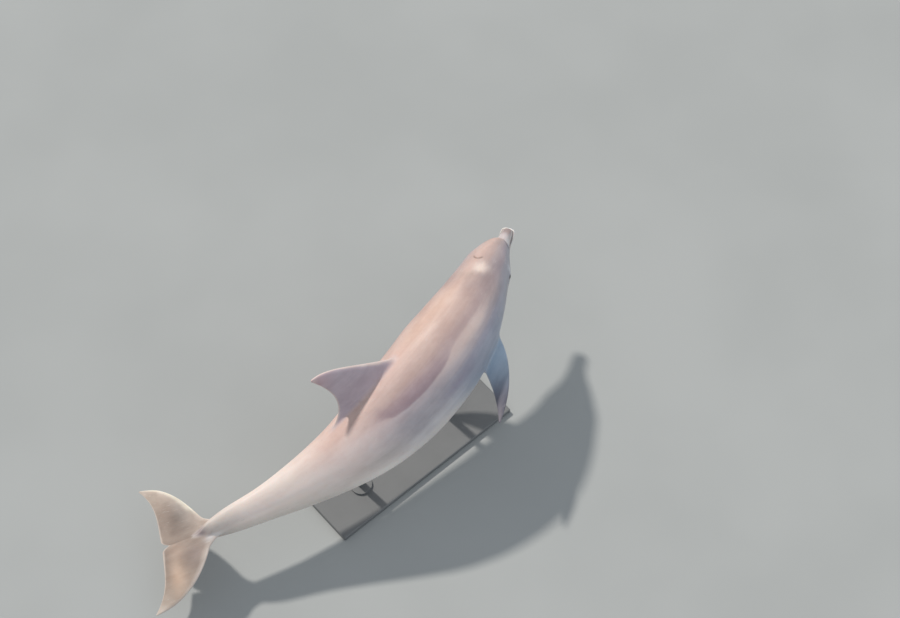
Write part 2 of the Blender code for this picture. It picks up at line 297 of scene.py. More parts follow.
@dataclass(frozen=True)
class Mouth:
    """The shut mouth: a groove from the beak tip to a raised corner, between firm lips.

    drop is how far round below the widest level the line runs, in degrees, and rise lifts it
    at the tip. Each lip is a height above the line, a width and a share of the lips' height.
    jaw is how far the lower jaw leads: its shares below the line and what the upper side
    lacks, the heights that it changes between, and how far from the line it reaches. The
    pale lips' width is given below the line behind and in front, and above the line.
    """
    at: tuple = (0.0, 0.045, 0.075, 0.100, 0.118)
    drop: tuple = (1.0, 6.0, 17.0, 24.0, 19.0)
    corner: float = 0.1165
    depth: float = 3.2 * MM
    width: float = 2.0 * MM
    lip: float = 1.2 * MM
    lip_bells: tuple = ((5.5 * MM, 4.5 * MM, 0.7), (-5.0 * MM, 5.0 * MM, 1.0))
    jaw: float = 11.0 * MM
    jaw_shares: tuple = (0.8, 0.9)
    jaw_change: tuple = (-2 * MM, 2.5 * MM)
    jaw_reach: float = 20 * MM
    jaw_fade: tuple = (0.020, 0.062)
    rise: float = 9.0 * MM
    rise_over: float = 0.012
    steepest: float = 20.0
    corner_fade: float = 0.006
    pale_fade: tuple = (0.025, 0.070)
    pale_width: tuple = (6.0 * MM, 20.0 * MM, 3.5 * MM)
    pale_share: tuple = (0.35, 1.0)

    def height(self, s: Array) -> Array:
        """Height of the line: the drop's sine below the widest level, and a bell at the tip.

        Args:
            s: stations.
        Returns:
            Heights in metres.
        """
        _, bottom, _, widest, _ = SHAPE.profile(s)
        drop = np.radians(curve(s, self.at, self.drop))
        return widest - np.sin(drop) * (widest - bottom) + self.rise * bump(s, self.rise_over)

    def turn(self, s: Array) -> Array:
        """Angle of the line above the widest level, at most the steepest.

        Args:
            s: stations.
        Returns:
            Angles, the arcsine of the height over that of the ring's half.
        """
        top, bottom, _, widest, _ = SHAPE.profile(s)
        up = self.height(s) - widest
        ratio = np.where(up > 0, up / (top - widest + 1e-9), up / (widest - bottom + 1e-9))
        return np.arcsin(np.clip(ratio, -1, math.sin(math.radians(self.steepest))))

    def distance(self, s: Array, angle: Array) -> Array:
        """Height of a surface point above the mouth line, m."""
        return SHAPE.point(s, angle)[..., 2] - self.height(s)

    def open_to(self, s: Array) -> Array:
        """1 along the mouth and 0 behind its corner."""
        return 1 - step_up(s, self.corner - self.corner_fade, self.corner)

    def relief(self, s: Array, angle: Array) -> Array:
        """Groove bell minus, lip bells plus, and a lower jaw a little ahead of the upper.

        Groove and lips fade at the corner. Near the tip a smooth step across the line sets
        the upper side back and the lower side out, by a quarter as much far from the line.

        Args:
            s: stations.
            angle: angles round the body.
        Returns:
            How far the surface is raised, m.
        """
        d = self.distance(s, angle)
        lips = sum(bump(d - high, wide) * share for high, wide, share in self.lip_bells)
        front = 1 - step_up(s, *self.jaw_fade)
        below, less = self.jaw_shares
        jaw = self.jaw * front * (below - less * step_up(d, *self.jaw_change)) * (
            0.25 + 0.75 * bump(d, self.jaw_reach))
        return jaw + self.open_to(s) * (self.lip * lips - self.depth * bump(d, self.width))

    def groove(self, s: Array, angle: Array) -> Array:
        """How deep in the line a point is, 0 to 1."""
        return self.open_to(s) * bump(self.distance(s, angle), self.width * 1.25)

    def lips(self, s: Array, angle: Array) -> Array:
        """How much a point belongs to the pale lips, 0 to 1; the lower is wide at the front.

        Args:
            s: stations.
            angle: angles round the body.
        Returns:
            A bell of the height above the mouth line.
        """
        d = self.distance(s, angle)
        front = 1 - step_up(s, *self.pale_fade)
        behind, ahead, above = self.pale_width
        least, most = self.pale_share
        wide = np.where(d < 0, behind + (ahead - behind) * front, above)
        share = np.where(d < 0, least + (most - least) * front, least)
        return self.open_to(s) * bump(d, wide) * share


@dataclass(frozen=True)
class Melon:
    """The crease that parts the beak from the forehead, a V with round arms seen from above."""
    station: float = 0.0490
    back: float = 0.0125
    depth: float = 4.2 * MM
    width: float = 5.0 * MM
    curl: float = 1.3
    fade: tuple = (-0.05, 0.30)

    def relief(self, s: Array, angle: Array) -> Array:
        """Bell across a line that runs back with a power (the curl) of the angle's cosine."""
        return -self.depth * self.strength(s, angle)

    def strength(self, s: Array, angle: Array) -> Array:
        """How deep in the crease a point is, 0 to 1.

        Args:
            s: stations.
            angle: angles round the body.
        Returns:
            A bell of the distance from the line, faded out below the widest level.
        """
        side = np.cos(angle)
        line = self.station + self.back * np.abs(side)**self.curl
        fade = step_up(np.sin(angle), *self.fade)
        return fade * bump((s - line) * LENGTH, self.width)


@dataclass(frozen=True)
class Blowhole:
    """A crescent on top of the head with its tips forward, and the plug's lip before it.

    Each lip is a distance out of the circle, a width and a height in millimetres. ends are
    the turns from the middle, in radians, over which the crescent fades, and it is only
    where the angle's sine is above a limit.
    """
    station: float = 0.1405
    radius: float = 29 * MM
    depth: float = 4.0 * MM
    width: float = 4.0 * MM
    lips: tuple = ((-7 * MM, 6 * MM, 1.6), (6 * MM, 5 * MM, 0.8))
    ends: tuple = (0.85, 1.25)
    above: float = 0.5

    def arc(self, s: Array, angle: Array) -> tuple[Array, Array]:
        """Distance from the crescent's circle, and how much of the arc is there.

        Args:
            s: stations.
            angle: angles round the body.
        Returns:
            Distances in metres, negative inside, and strengths from 0 to 1.
        """
        point = SHAPE.point(s, angle)
        ahead = (s - self.station) * LENGTH + self.radius
        far = np.hypot(ahead, point[..., 1]) - self.radius
        turn = np.arctan2(np.abs(point[..., 1]), ahead)
        above = np.sin(angle) > self.above
        return far, (1 - step_up(turn, *self.ends)) * above

    def relief(self, s: Array, angle: Array) -> Array:
        """Groove bell minus, and wider lip bells plus.

        Args:
            s: stations.
            angle: angles round the body.
        Returns:
            How far the surface is raised, m.
        """
        far, near = self.arc(s, angle)
        lips = sum(bump(far - out, wide) * high * MM for out, wide, high in self.lips)
        return near * (lips - self.depth * bump(far, self.width))

    def strength(self, s: Array, angle: Array) -> Array:
        """How deep in the crescent a point is, 0 to 1."""
        far, near = self.arc(s, angle)
        return near * bump(far, self.width)


@dataclass(frozen=True)
class EyeSocket:
    """The almond opening, its raised lids and the low bulge they lie on.

    below is how far round below the widest level the eye lies, in degrees. Rim and fold are
    ridges of one width, at their distances outside the lid edge; the fold goes inwards.
    """
    station: float = 0.131
    below: float = 6.0
    long: float = 12.0 * MM
    high: float = 6.6 * MM
    bulge: float = 4.4 * MM
    bulge_reach: float = 25 * MM
    rim: float = 1.5 * MM
    rim_out: float = 1.6 * MM
    fold: float = 0.9 * MM
    fold_out: float = 7.0 * MM
    ridge: float = 2.4 * MM
    ridge_reach: float = 21 * MM
    shade_width: float = 3.0 * MM
    shade_reach: float = 26 * MM

    def girth(self) -> float:
        """Half width of the head at the eye, which turns angles into distances."""
        return float(SHAPE.profile(np.array([self.station]))[2][0])

    def turn(self, side: Side) -> float:
        """Angle of this side's eye round the body."""
        below = math.radians(self.below)
        return -below if side is Side.LEFT else math.pi + below

    def gap(self, s: Array, angle: Array) -> tuple[Array, Array]:
        """Height outside the lid edge (negative inside the opening) and distance from centre.

        The lid edge is a parabola above and below the line of the eye.

        Args:
            s: stations.
            angle: angles round the body; both sides are folded onto one.
        Returns:
            The two distances, m.
        """
        folded = np.where(np.cos(angle) >= 0, angle, math.pi - angle)
        folded = (folded + math.pi) % (2 * math.pi) - math.pi
        up = (folded + math.radians(self.below)) * self.girth()
        aft = (s - self.station) * LENGTH
        edge = np.maximum(self.high * (1 - (aft / self.long)**2), 0)
        over, past = np.abs(up) - edge, np.clip(np.abs(aft) - self.long, 0, None)
        return np.hypot(over, past) * np.sign(over + 1e-9), np.hypot(aft, up)

    def relief(self, s: Array, angle: Array) -> Array:
        """A wide bell, a narrow one along the lid edge, and a shallow fold outside it.

        Args:
            s: stations.
            angle: angles round the body.
        Returns:
            How far the surface is raised, m.
        """
        out, far = self.gap(s, angle)
        near = bump(far, self.bulge_reach)
        rim = bump(out - self.rim_out, self.ridge) * self.rim
        fold = bump(out - self.fold_out, self.ridge) * self.fold
        return self.bulge * near + (rim - fold) * bump(far, self.ridge_reach)

    def shade(self, s: Array, angle: Array) -> Array:
        """Painted shade at the lid edge and its surround, 0 to 1."""
        out, far = self.gap(s, angle)
        return bump(out, self.shade_width) * (far < self.shade_reach)


MOUTH, MELON, BLOWHOLE, SOCKET = Mouth(), Melon(), Blowhole(), EyeSocket()
RELIEFS = (MOUTH, MELON, BLOWHOLE, SOCKET)


# ---- meshes ------------------------------------------------------------------------------

def place_object(name: str, data: bpy.types.ID) -> bpy.types.Object:
    """Put a new object into the scene.

    Args:
        name: its name.
        data: its mesh, camera or light.
    Returns:
        The object.
    """
    made = bpy.data.objects.new(name, data)
    bpy.context.scene.collection.objects.link(made)
    return made


@dataclass
class Surface:
    """Vertices, faces and per-vertex values of one closed surface."""
    points: Array
    faces: list
    values: dict = field(default_factory=dict)

    def make(self, name: str) -> bpy.types.Object:
        """Build the mesh object, with its per-point numbers and vectors as attributes.

        Args:
            name: name of the object and its mesh.
        Returns:
            The new object, linked to the scene.
        """
        mesh = bpy.data.meshes.new(name)
        mesh.from_pydata(self.points.tolist(), [], self.faces)
        for key, data in self.values.items():
            flat = np.ascontiguousarray(data, np.float32).ravel()
            kind, channel = (("FLOAT_VECTOR", "vector") if flat.size > len(self.points)
                             else ("FLOAT", "value"))
            mesh.attributes.new(key, kind, "POINT").data.foreach_set(channel, flat)
        mesh.polygons.foreach_set("use_smooth", np.ones(len(mesh.polygons), bool))
        return place_object(name, mesh)


# ---- the skin's surface ------------------------------------------------------------------

def skin_point(s: Array, angle: Array) -> Array:
    """Body surface with its reliefs: the plain surface moved along its own normal.

    The normal is the cross product of the steps round and along the body.

    Args:
        s: stations.
        angle: angles round the body.
    Returns:
        Straight points in metres.
    """
    plain = SHAPE.point(s, angle)
    ds, da = 1e-4, 1e-3
    along = SHAPE.point(s + ds, angle) - SHAPE.point(np.maximum(s - ds, 0.0), angle)
    around = SHAPE.point(s, angle + da) - SHAPE.point(s, angle - da)
    normal = np.cross(around, along)
    normal /= np.linalg.norm(normal, axis=-1, keepdims=True) + 1e-15
    lift = sum(part.relief(s, angle) for part in RELIEFS)
    return plain + normal * lift[..., None]


@dataclass
class Hide:
    """The skin's points, faces and per-point values while it grows."""
    points: list = field(default_factory=list)
    values: list = field(default_factory=list)
    faces: list = field(default_factory=list)
    count: int = 0

    def add(self, points: Array, **values: Array | float) -> Array:
        """Append a grid of points.

        Args:
            points: the grid, its last axis the three coordinates.
            values: numbers or arrays that fit the grid, by name.
        Returns:
            The numbers of the points, in the grid's shape.
        """
        shape = points.shape[:-1]
        self.points.append(points.reshape(-1, 3))
        self.values.append({key: np.broadcast_to(data, shape).ravel()
                            for key, data in values.items()})
        first = self.count
        self.count += int(np.prod(shape))
        return np.arange(first, self.count).reshape(shape)

    def value(self, key: str) -> Array:
        """One value of all points, 0 where none was given."""
        return np.concatenate([some.get(key, np.zeros(len(part)))
                               for part, some in zip(self.points, self.values)])

    def cover(self, index: Array, keep: Array | None = None) -> None:
        """Faces over a grid of point numbers; a quad with a repeated corner is a triangle.

        Args:
            index: the grid of numbers.
            keep: which cells get a face, all when not given.
        """
        quads = np.stack([index[:-1, :-1], index[1:, :-1], index[1:, 1:], index[:-1, 1:]], -1)
        quads = (quads if keep is None else quads[keep]).reshape(-1, 4)
        same = quads == np.roll(quads, -1, axis=1)
        self.faces += quads[~same.any(axis=1)].tolist()
        for corner in range(4):
            thin = quads[same[:, corner] & (same.sum(axis=1) == 1)]
            self.faces += np.delete(thin, corner, axis=1).tolist()

    def tube(self, index: Array, keep: Array | None = None) -> None:
        """Faces over a grid of point numbers whose last column joins its first."""
        self.cover(np.hstack([index, index[:, :1]]), keep)

    def surface(self, values: dict, points: Array | None = None) -> Surface:
        """The finished surface, without unused points, bent into the pose.

        Args:
            values: per-point values to keep.
            points: the straight points, when they were moved since they were added.
        Returns:
            The bent surface, with its straight places as one more value.
        """
        points = np.vstack(self.points) if points is None else points
        used = np.zeros(len(points), bool)
        corners = np.array([corner for face in self.faces for corner in face])
        used[corners] = True
        number = (np.cumsum(used) - 1)[corners]
        ends = np.cumsum([len(face) for face in self.faces])
        faces = [part.tolist() for part in np.split(number, ends[:-1])]
        kept = {key: data[used] for key, data in values.items()}
        return Surface(SPINE.bend(points[used]), faces, {**kept, "straight": points[used]})


def loop_of(first: tuple[int, int], last: tuple[int, int]) -> tuple[Array, Array]:
    """Rows and columns of the points round a block of a grid, in order.

    Args:
        first: first row and column of the block.
        last: last row and column.
    Returns:
        Rows and columns, once round the block.
    """
    (r0, c0), (r1, c1) = first, last
    rows = np.concatenate([np.full(c1 - c0, r0), np.arange(r0, r1),
                           np.full(c1 - c0, r1), np.arange(r1, r0, -1)])
    cols = np.concatenate([np.arange(c0, c1), np.full(r1 - r0, c1),
                           np.arange(c1, c0, -1), np.full(r1 - r0, c0)])
    return rows, cols


@dataclass
class Trunk:
    """The body's grid of rings and columns, with holes where fins and eyes grow.

    A column on each side follows the mouth line, so that the line is a clean crease; behind
    the mouth it drifts back to its even place. Columns crowd at the mouth, eye and blowhole:
    how many more there are, how far round in radians, and how far along.
    """
    half_columns: int = 80
    mouth_column: int = 32
    tip_rings: int = 24
    head_end: float = 0.165
    head_step: float = 2.4 * MM
    body_step: float = 10.0 * MM
    widening: float = 0.06
    tail: float = 0.900
    line_drift: tuple = (0.125, 0.21)
    mouth_fade: tuple = (0.11, 0.16)
    mouth_crowd: tuple = (3.0, 0.17)
    eye_crowd: tuple = (1.6, 0.15, 0.016)
    blowhole_crowd: tuple = (2.0, 0.22, 0.016)

    def stations(self) -> Array:
        """Station of each ring: close at the round tip, even on the head, wider behind.

        Behind the head the rings are spread evenly over the running sum of one over the
        wanted step.

        Returns:
            Stations from the tip to the start of the flukes.
        """
        tip = SHAPE.tip * (1 - np.cos(np.linspace(0.05, 1.0, self.tip_rings) * math.pi / 2))
        head = np.arange(SHAPE.tip, self.head_end, self.head_step / LENGTH)[1:]
        fine = np.linspace(self.head_end, self.tail, 2001)
        wide = self.head_step + (self.body_step - self.head_step) * step_up(
            fine, self.head_end, self.head_end + self.widening)
        rings = np.concatenate([[0], np.cumsum(np.diff(fine) * LENGTH / wide[1:])])
        body = np.interp(np.linspace(0, rings[-1], int(rings[-1]) + 1), rings, fine)
        return np.concatenate([tip, head, body[1 if body[0] - head[-1] < 1e-4 else 0:]])

    def angles(self, s: Array) -> Array:
        """Angle of each column of each ring, from the keel round to the keel.

        Columns are spread evenly over the running sum of a density, separately below and
        above the pinned line, which is the mouth line on the head. The density is 1, with
        bells round the mouth, the eye and the blowhole.

        Args:
            s: station of each ring.
        Returns:
            One row of angles for each ring.
        """
        fine = np.linspace(-math.pi / 2, math.pi / 2, 721)
        pin = -math.pi / 2 + math.pi * self.mouth_column / self.half_columns
        drop = -MOUTH.turn(s)
        line = -drop + (pin + drop) * step_up(s, *self.line_drift)
        more, round_ = self.mouth_crowd
        density = 1 + more * ((1 - step_up(s, *self.mouth_fade))[:, None]
                              * bump(fine + drop[:, None], round_))
        for station, turn, (more, round_, along) in (
                (SOCKET.station, -math.radians(SOCKET.below), self.eye_crowd),
                (BLOWHOLE.station, math.pi / 2, self.blowhole_crowd)):
            density = density + more * (bump(s - station, along)[:, None]
                                        * bump(fine - turn, round_))
        total = np.cumsum((density[:, 1:] + density[:, :-1]) / 2, axis=1)
        total = np.hstack([np.zeros((len(s), 1)), total]) / total[:, -1:]
        k = np.arange(self.half_columns + 1)
        rows = []
        for row, where in zip(total, line):
            part = np.interp(where, fine, row)
            share = np.where(k <= self.mouth_column, part * k / self.mouth_column,
                             part + (1 - part) * (k - self.mouth_column)
                             / (self.half_columns - self.mouth_column))
            rows.append(np.interp(share, row, fine))
        port = np.array(rows)
        return np.hstack([port, math.pi - port[:, -2:0:-1]])

    def build(self, hide: Hide, growths: Sequence["Fin | Lids"]) -> tuple[Array, Array]:
        """Lay the grid, let each growth fill its own hole, and close the beak tip.

        Args:
            hide: the skin so far.
            growths: fins and eyelids.
        Returns:
            Numbers and angles of the last ring, where the flukes begin.
        """
        s = self.stations()
        angle = self.angles(s)
        s = np.broadcast_to(s[:, None], angle.shape)
        index = hide.add(skin_point(s, angle))
        keep = np.ones((len(index) - 1, index.shape[1]), bool)
        for growth in growths:
            (r0, c0), (r1, c1) = growth.block(s, angle)
            keep[r0:r1, c0:c1] = False
            rows, cols = loop_of((r0, c0), (r1, c1))
            growth.grow(hide, index[rows, cols], s[rows, cols], angle[rows, cols])
        hide.tube(index, keep)
        pole = hide.add(skin_point(np.array([1e-6]), np.array([0.0])))
        hide.tube(np.vstack([np.broadcast_to(pole, index[0].shape), index[0]]))
        return index[-1], angle[-1]


@dataclass
class Blade:
    """A thin blade of rounded foil sections between two edges.

    The edges are cubic curves from root to tip. thick is the greatest half thickness at the
    root and tip_thick what is left at the tip, as fractions of the length. foil is the
    factor and the power of the section, and edge the rounding of the rim in metres.
    """
    lead: tuple
    trail: tuple
    thick: float
    tip_thick: float
    taper: float = 0.8
    foil: tuple = (1.72, 0.85)
    edge: float = 1.3 * MM

    def half_thickness(self, u: Array, v: Array) -> Array:
        """Half thickness at chord position u and span position v.

        A falling power of the way back times its square root, plus a rim that rounds both
        edges like a flattened ellipse.

        Args:
            u: chord positions, 0 at the leading edge.
            v: span positions, 0 at the root.
        Returns:
            Half thicknesses in metres.
        """
        thick = (self.thick * (1 - v)**self.taper + self.tip_thick) * LENGTH
        factor, power = self.foil
        return (thick * (factor * (1 - u)**power * np.sqrt(u))
                + self.edge * np.sqrt(1 - np.abs(2 * u - 1)**6))


@dataclass(kw_only=True)
class Fin(Blade):
    """A blade grown out of a hole in the body's grid.

    between and columns bound the hole. fillet is the radius at the root in metres, with more
    of it at both ends of the chord. There are rows on the body, over the fillet, along the
    fin, closer towards its tip, and round the tip; soft_rows are the middle and reach of
    those that are smoothed afterwards.
    """
    between: tuple
    columns: tuple
    fillet: float = 15 * MM
    more_at_ends: float = 0.7
    foot_rows: int = 5
    fillet_rows: int = 9
    span_rows: int = 42
    closer: float = 0.35
    tip_rows: int = 7
    soft_rows: tuple = (7.5, 7.0)
    mark: str = "dorsal"

    def place(self, flat: Array) -> Array:
        """Edge points of the outline, as fractions of the length, to straight points."""
        return np.stack([flat[:, 0], 0 * flat[:, 0], flat[:, 1]], 1) * LENGTH

    def normal(self) -> Array:
        """Direction of the fin's thickness."""
        return np.array([0.0, 1.0, 0.0])

    def point(self, u: Array, side: Array, v: Array) -> Array:
        """Fin surface: the chord between the two edges, moved by the half thickness.

        Args:
            u: chord positions.
            side: 1 or -1 for the two faces, 0 on the edges.
            v: span positions.
        Returns:
            Straight points.
        """
        v = np.clip(v, 0.0, 1.0)
        lead, trail = self.place(bezier(self.lead, v)), self.place(bezier(self.trail, v))
        depth = side * self.half_thickness(u, v)
        return lead + u[:, None] * (trail - lead) + depth[:, None] * self.normal()

    def crossing(self, u: Array, side: Array) -> Array:
        """Span position where the fin comes out of the body, by halving the inner 0.7.

        Args:
            u: chord positions.
            side: faces, as in point.
        Returns:
            Span positions.
        """
        low, high = np.zeros_like(u), np.full_like(u, 0.7)
        for _ in range(36):
            middle = (low + high) / 2
            outside = SHAPE.locate(self.point(u, side, middle))[2] > 0
            low, high = np.where(outside, low, middle), np.where(outside, middle, high)
        return (low + high) / 2

    def block(self, s: Array, _: Array) -> tuple[tuple, tuple]:
        """First and last row and column of the hole; its columns need no angles."""
        r0, r1 = np.searchsorted(s[:, 0], self.between)
        return (int(r0), self.columns[0]), (int(r1), self.columns[1])

    def flat(self, points: Array, middle: float) -> Array:
        """Straight points near the body as distances along and round it.

        Args:
            points: straight points.
            middle: an angle near them, so that angles do not jump by a turn.
        Returns:
            Two columns: metres along, metres round.
        """
        s, angle, _ = SHAPE.locate(points)
        angle = middle + (angle - middle + math.pi) % (2 * math.pi) - math.pi
        return np.stack([s * LENGTH, angle * self.girth()], 1)

    def girth(self) -> float:
        """Mean radius of the body at the fin, which turns angles into distances."""
        top, bottom, half, _, _ = SHAPE.profile(np.array([sum(self.between) / 2]))
        return float((half + (top - bottom) / 2)[0] / 2)

    def match(self, rim: Array, middle: float) -> tuple[Array, Array, Array]:
        """Give each point round the hole its place round the fin's section.

        The point in line with the leading edge and the one in line with the trailing edge
        are found first. Between them the chord position is half of one minus the cosine of
        half a turn times the share of the way.

        Args:
            rim: the hole's points, metres along and round.
            middle: angle of the fin's middle.
        Returns:
            Order of the points from the leading edge, chord positions and sides.
        """
        zero = np.zeros(2)
        ends = np.array([0.0, 1.0])
        edges = self.flat(self.point(ends, zero, self.crossing(ends, zero)), middle)
        centre = edges.mean(axis=0)
        spoke = rim - centre
        spoke /= np.linalg.norm(spoke, axis=1, keepdims=True)
        first, last = (int(np.argmax(spoke @ (edge - centre))) for edge in edges)
        order = np.roll(np.arange(len(rim)), -first)
        count = (last - first) % len(rim)
        way = np.linalg.norm(np.diff(rim[np.append(order, order[0])], axis=0), axis=1)
        way = np.concatenate([[0], np.cumsum(way)])
        out = way[:count + 1] / way[count]
        back = (way[-1] - way[count + 1:-1]) / (way[-1] - way[count])
        u = (1 - np.cos(math.pi * np.concatenate([out, back]))) / 2
        side = np.concatenate([np.ones(count + 1), -np.ones(len(rim) - count - 1)])
        side[[0, count]] = 0
        probe = np.full(1, 0.4)
        near = [self.flat(self.point(probe, sign, self.crossing(probe, sign)), middle)
                for sign in (np.ones(1), -np.ones(1))]
        there = rim[order[count // 2]]
        if np.linalg.norm(near[0] - there) > np.linalg.norm(near[1] - there):
            side = -side
        return order, u, side

    def grow(self, hide: Hide, rim: Array, s: Array, angle: Array) -> None:
        """Fill the hole: rows on the body, a fillet, the fin and its rounded tip.

        The fillet's rows are quadratic curves from the body by way of the line where fin and
        body cross to the fin. The tip's rows shrink with the cosine and move out with the
        sine of a quarter turn.

        Args:
            hide: the skin so far.
            rim: numbers of the points round the hole.
            s: their stations.
            angle: their angles.
        """
        middle, girth = float(angle.mean()), self.girth()
        order, u, side = self.match(np.stack([s * LENGTH, angle * girth], 1), middle)
        rim, s, angle = rim[order], s[order], angle[order]
        start = self.crossing(u, side)
        cross = self.point(u, side, start)
        flat = self.flat(cross, middle)
        tangent = np.roll(flat, -1, axis=0) - np.roll(flat, 1, axis=0)
        out = np.stack([tangent[:, 1], -tangent[:, 0]], 1)
        out /= np.linalg.norm(out, axis=1, keepdims=True) + 1e-12
        out *= np.sign(np.einsum("ij,ij->i", out, flat - flat.mean(axis=0)).sum())
        radius = self.fillet * (1 + self.more_at_ends * np.abs(2 * u - 1)**5)
        foot = flat + out * radius[:, None]
        foot_s, foot_angle = foot[:, 0] / LENGTH, foot[:, 1] / girth
        speed = np.linalg.norm(self.point(u, side, start + 1e-3) - cross, axis=1) / 1e-3
        top = start + radius / speed
        rows = [(skin_point(s + (foot_s - s) * share, angle + (foot_angle - angle) * share),
                 0.0, 0 * u) for share in shares(self.foot_rows)]
        below, above = rows[-1][0], self.point(u, side, top)
        rows += [((1 - share)**2 * below + 2 * share * (1 - share) * cross + share**2 * above,
                  share, start * share) for share in shares(self.fillet_rows)]
        for share in shares(self.span_rows, self.closer):
            v = top + (1 - top) * share
            rows.append((self.point(u, side, v), 1.0, v))
        last, way = rows[-1][0], self.tip_way()
        heart = last.mean(axis=0)
        rows += [(heart + (last - heart) * math.cos(turn) + way * math.sin(turn), 1.0,
                  0 * u + 1)
                 for turn in np.linspace(0, math.pi / 2, self.tip_rows)[1:-1]]
        grid, fin, span = (np.array(part) for part in zip(*rows))
        softest, reach = self.soft_rows
        soft = ramp_down(np.abs(np.arange(len(fin)) - softest), reach)
        index = hide.add(grid, chord=u, span=span, soft=soft[:, None],
                         **{self.mark: fin[:, None]})
        pole = hide.add((heart + way)[None, :], chord=0.5, span=1.0, **{self.mark: 1.0})
        hide.tube(np.vstack([rim, index, np.broadcast_to(pole, rim.shape)]))

    def tip_way(self) -> Array:
        """How far and which way the rounded tip stands out.

        Returns:
            The mean direction of the two edges at their ends, half a tip chord long.
        """
        one = np.ones(1)
        lead, trail = (self.place(bezier(edge, one))[0] for edge in (self.lead, self.trail))
        before = (self.place(bezier(edge, one - 0.02))[0] for edge in (self.lead, self.trail))
        way = lead + trail - sum(before)
        return way / np.linalg.norm(way) * np.linalg.norm(lead - trail) / 2


@dataclass(kw_only=True)
class Flipper(Fin):
    """A flipper on its own plane, swept back from low on the chest.

    root is the plane's first point, and span and chord its two directions.
    """
    side: Side = Side.RIGHT
    root: tuple = (0.255, 0.048, -0.060)
    span: tuple = (0.868, 0.398, -0.297)
    chord: tuple = (-0.494, 0.7515, -0.437)
    mark: str = "flipper"

    def mirror(self) -> Array:
        """Sign of each axis for this side."""
        return np.array([1.0, self.side.value, 1.0])

    def place(self, flat: Array) -> Array:
        """Outline points along the span and the chord of the flipper's plane.

        Args:
            flat: distances along the span and the chord, as fractions of the length.
        Returns:
            Straight points on this side.
        """
        placed = (np.array(self.root) + flat[:, :1] * np.array(self.span)
                  + flat[:, 1:] * np.array(self.chord))
        return placed * self.mirror() * LENGTH

    def normal(self) -> Array:
        """Across the plane of the flipper."""
        across = np.cross(self.chord, self.span) * self.mirror()
        return across / np.linalg.norm(across)


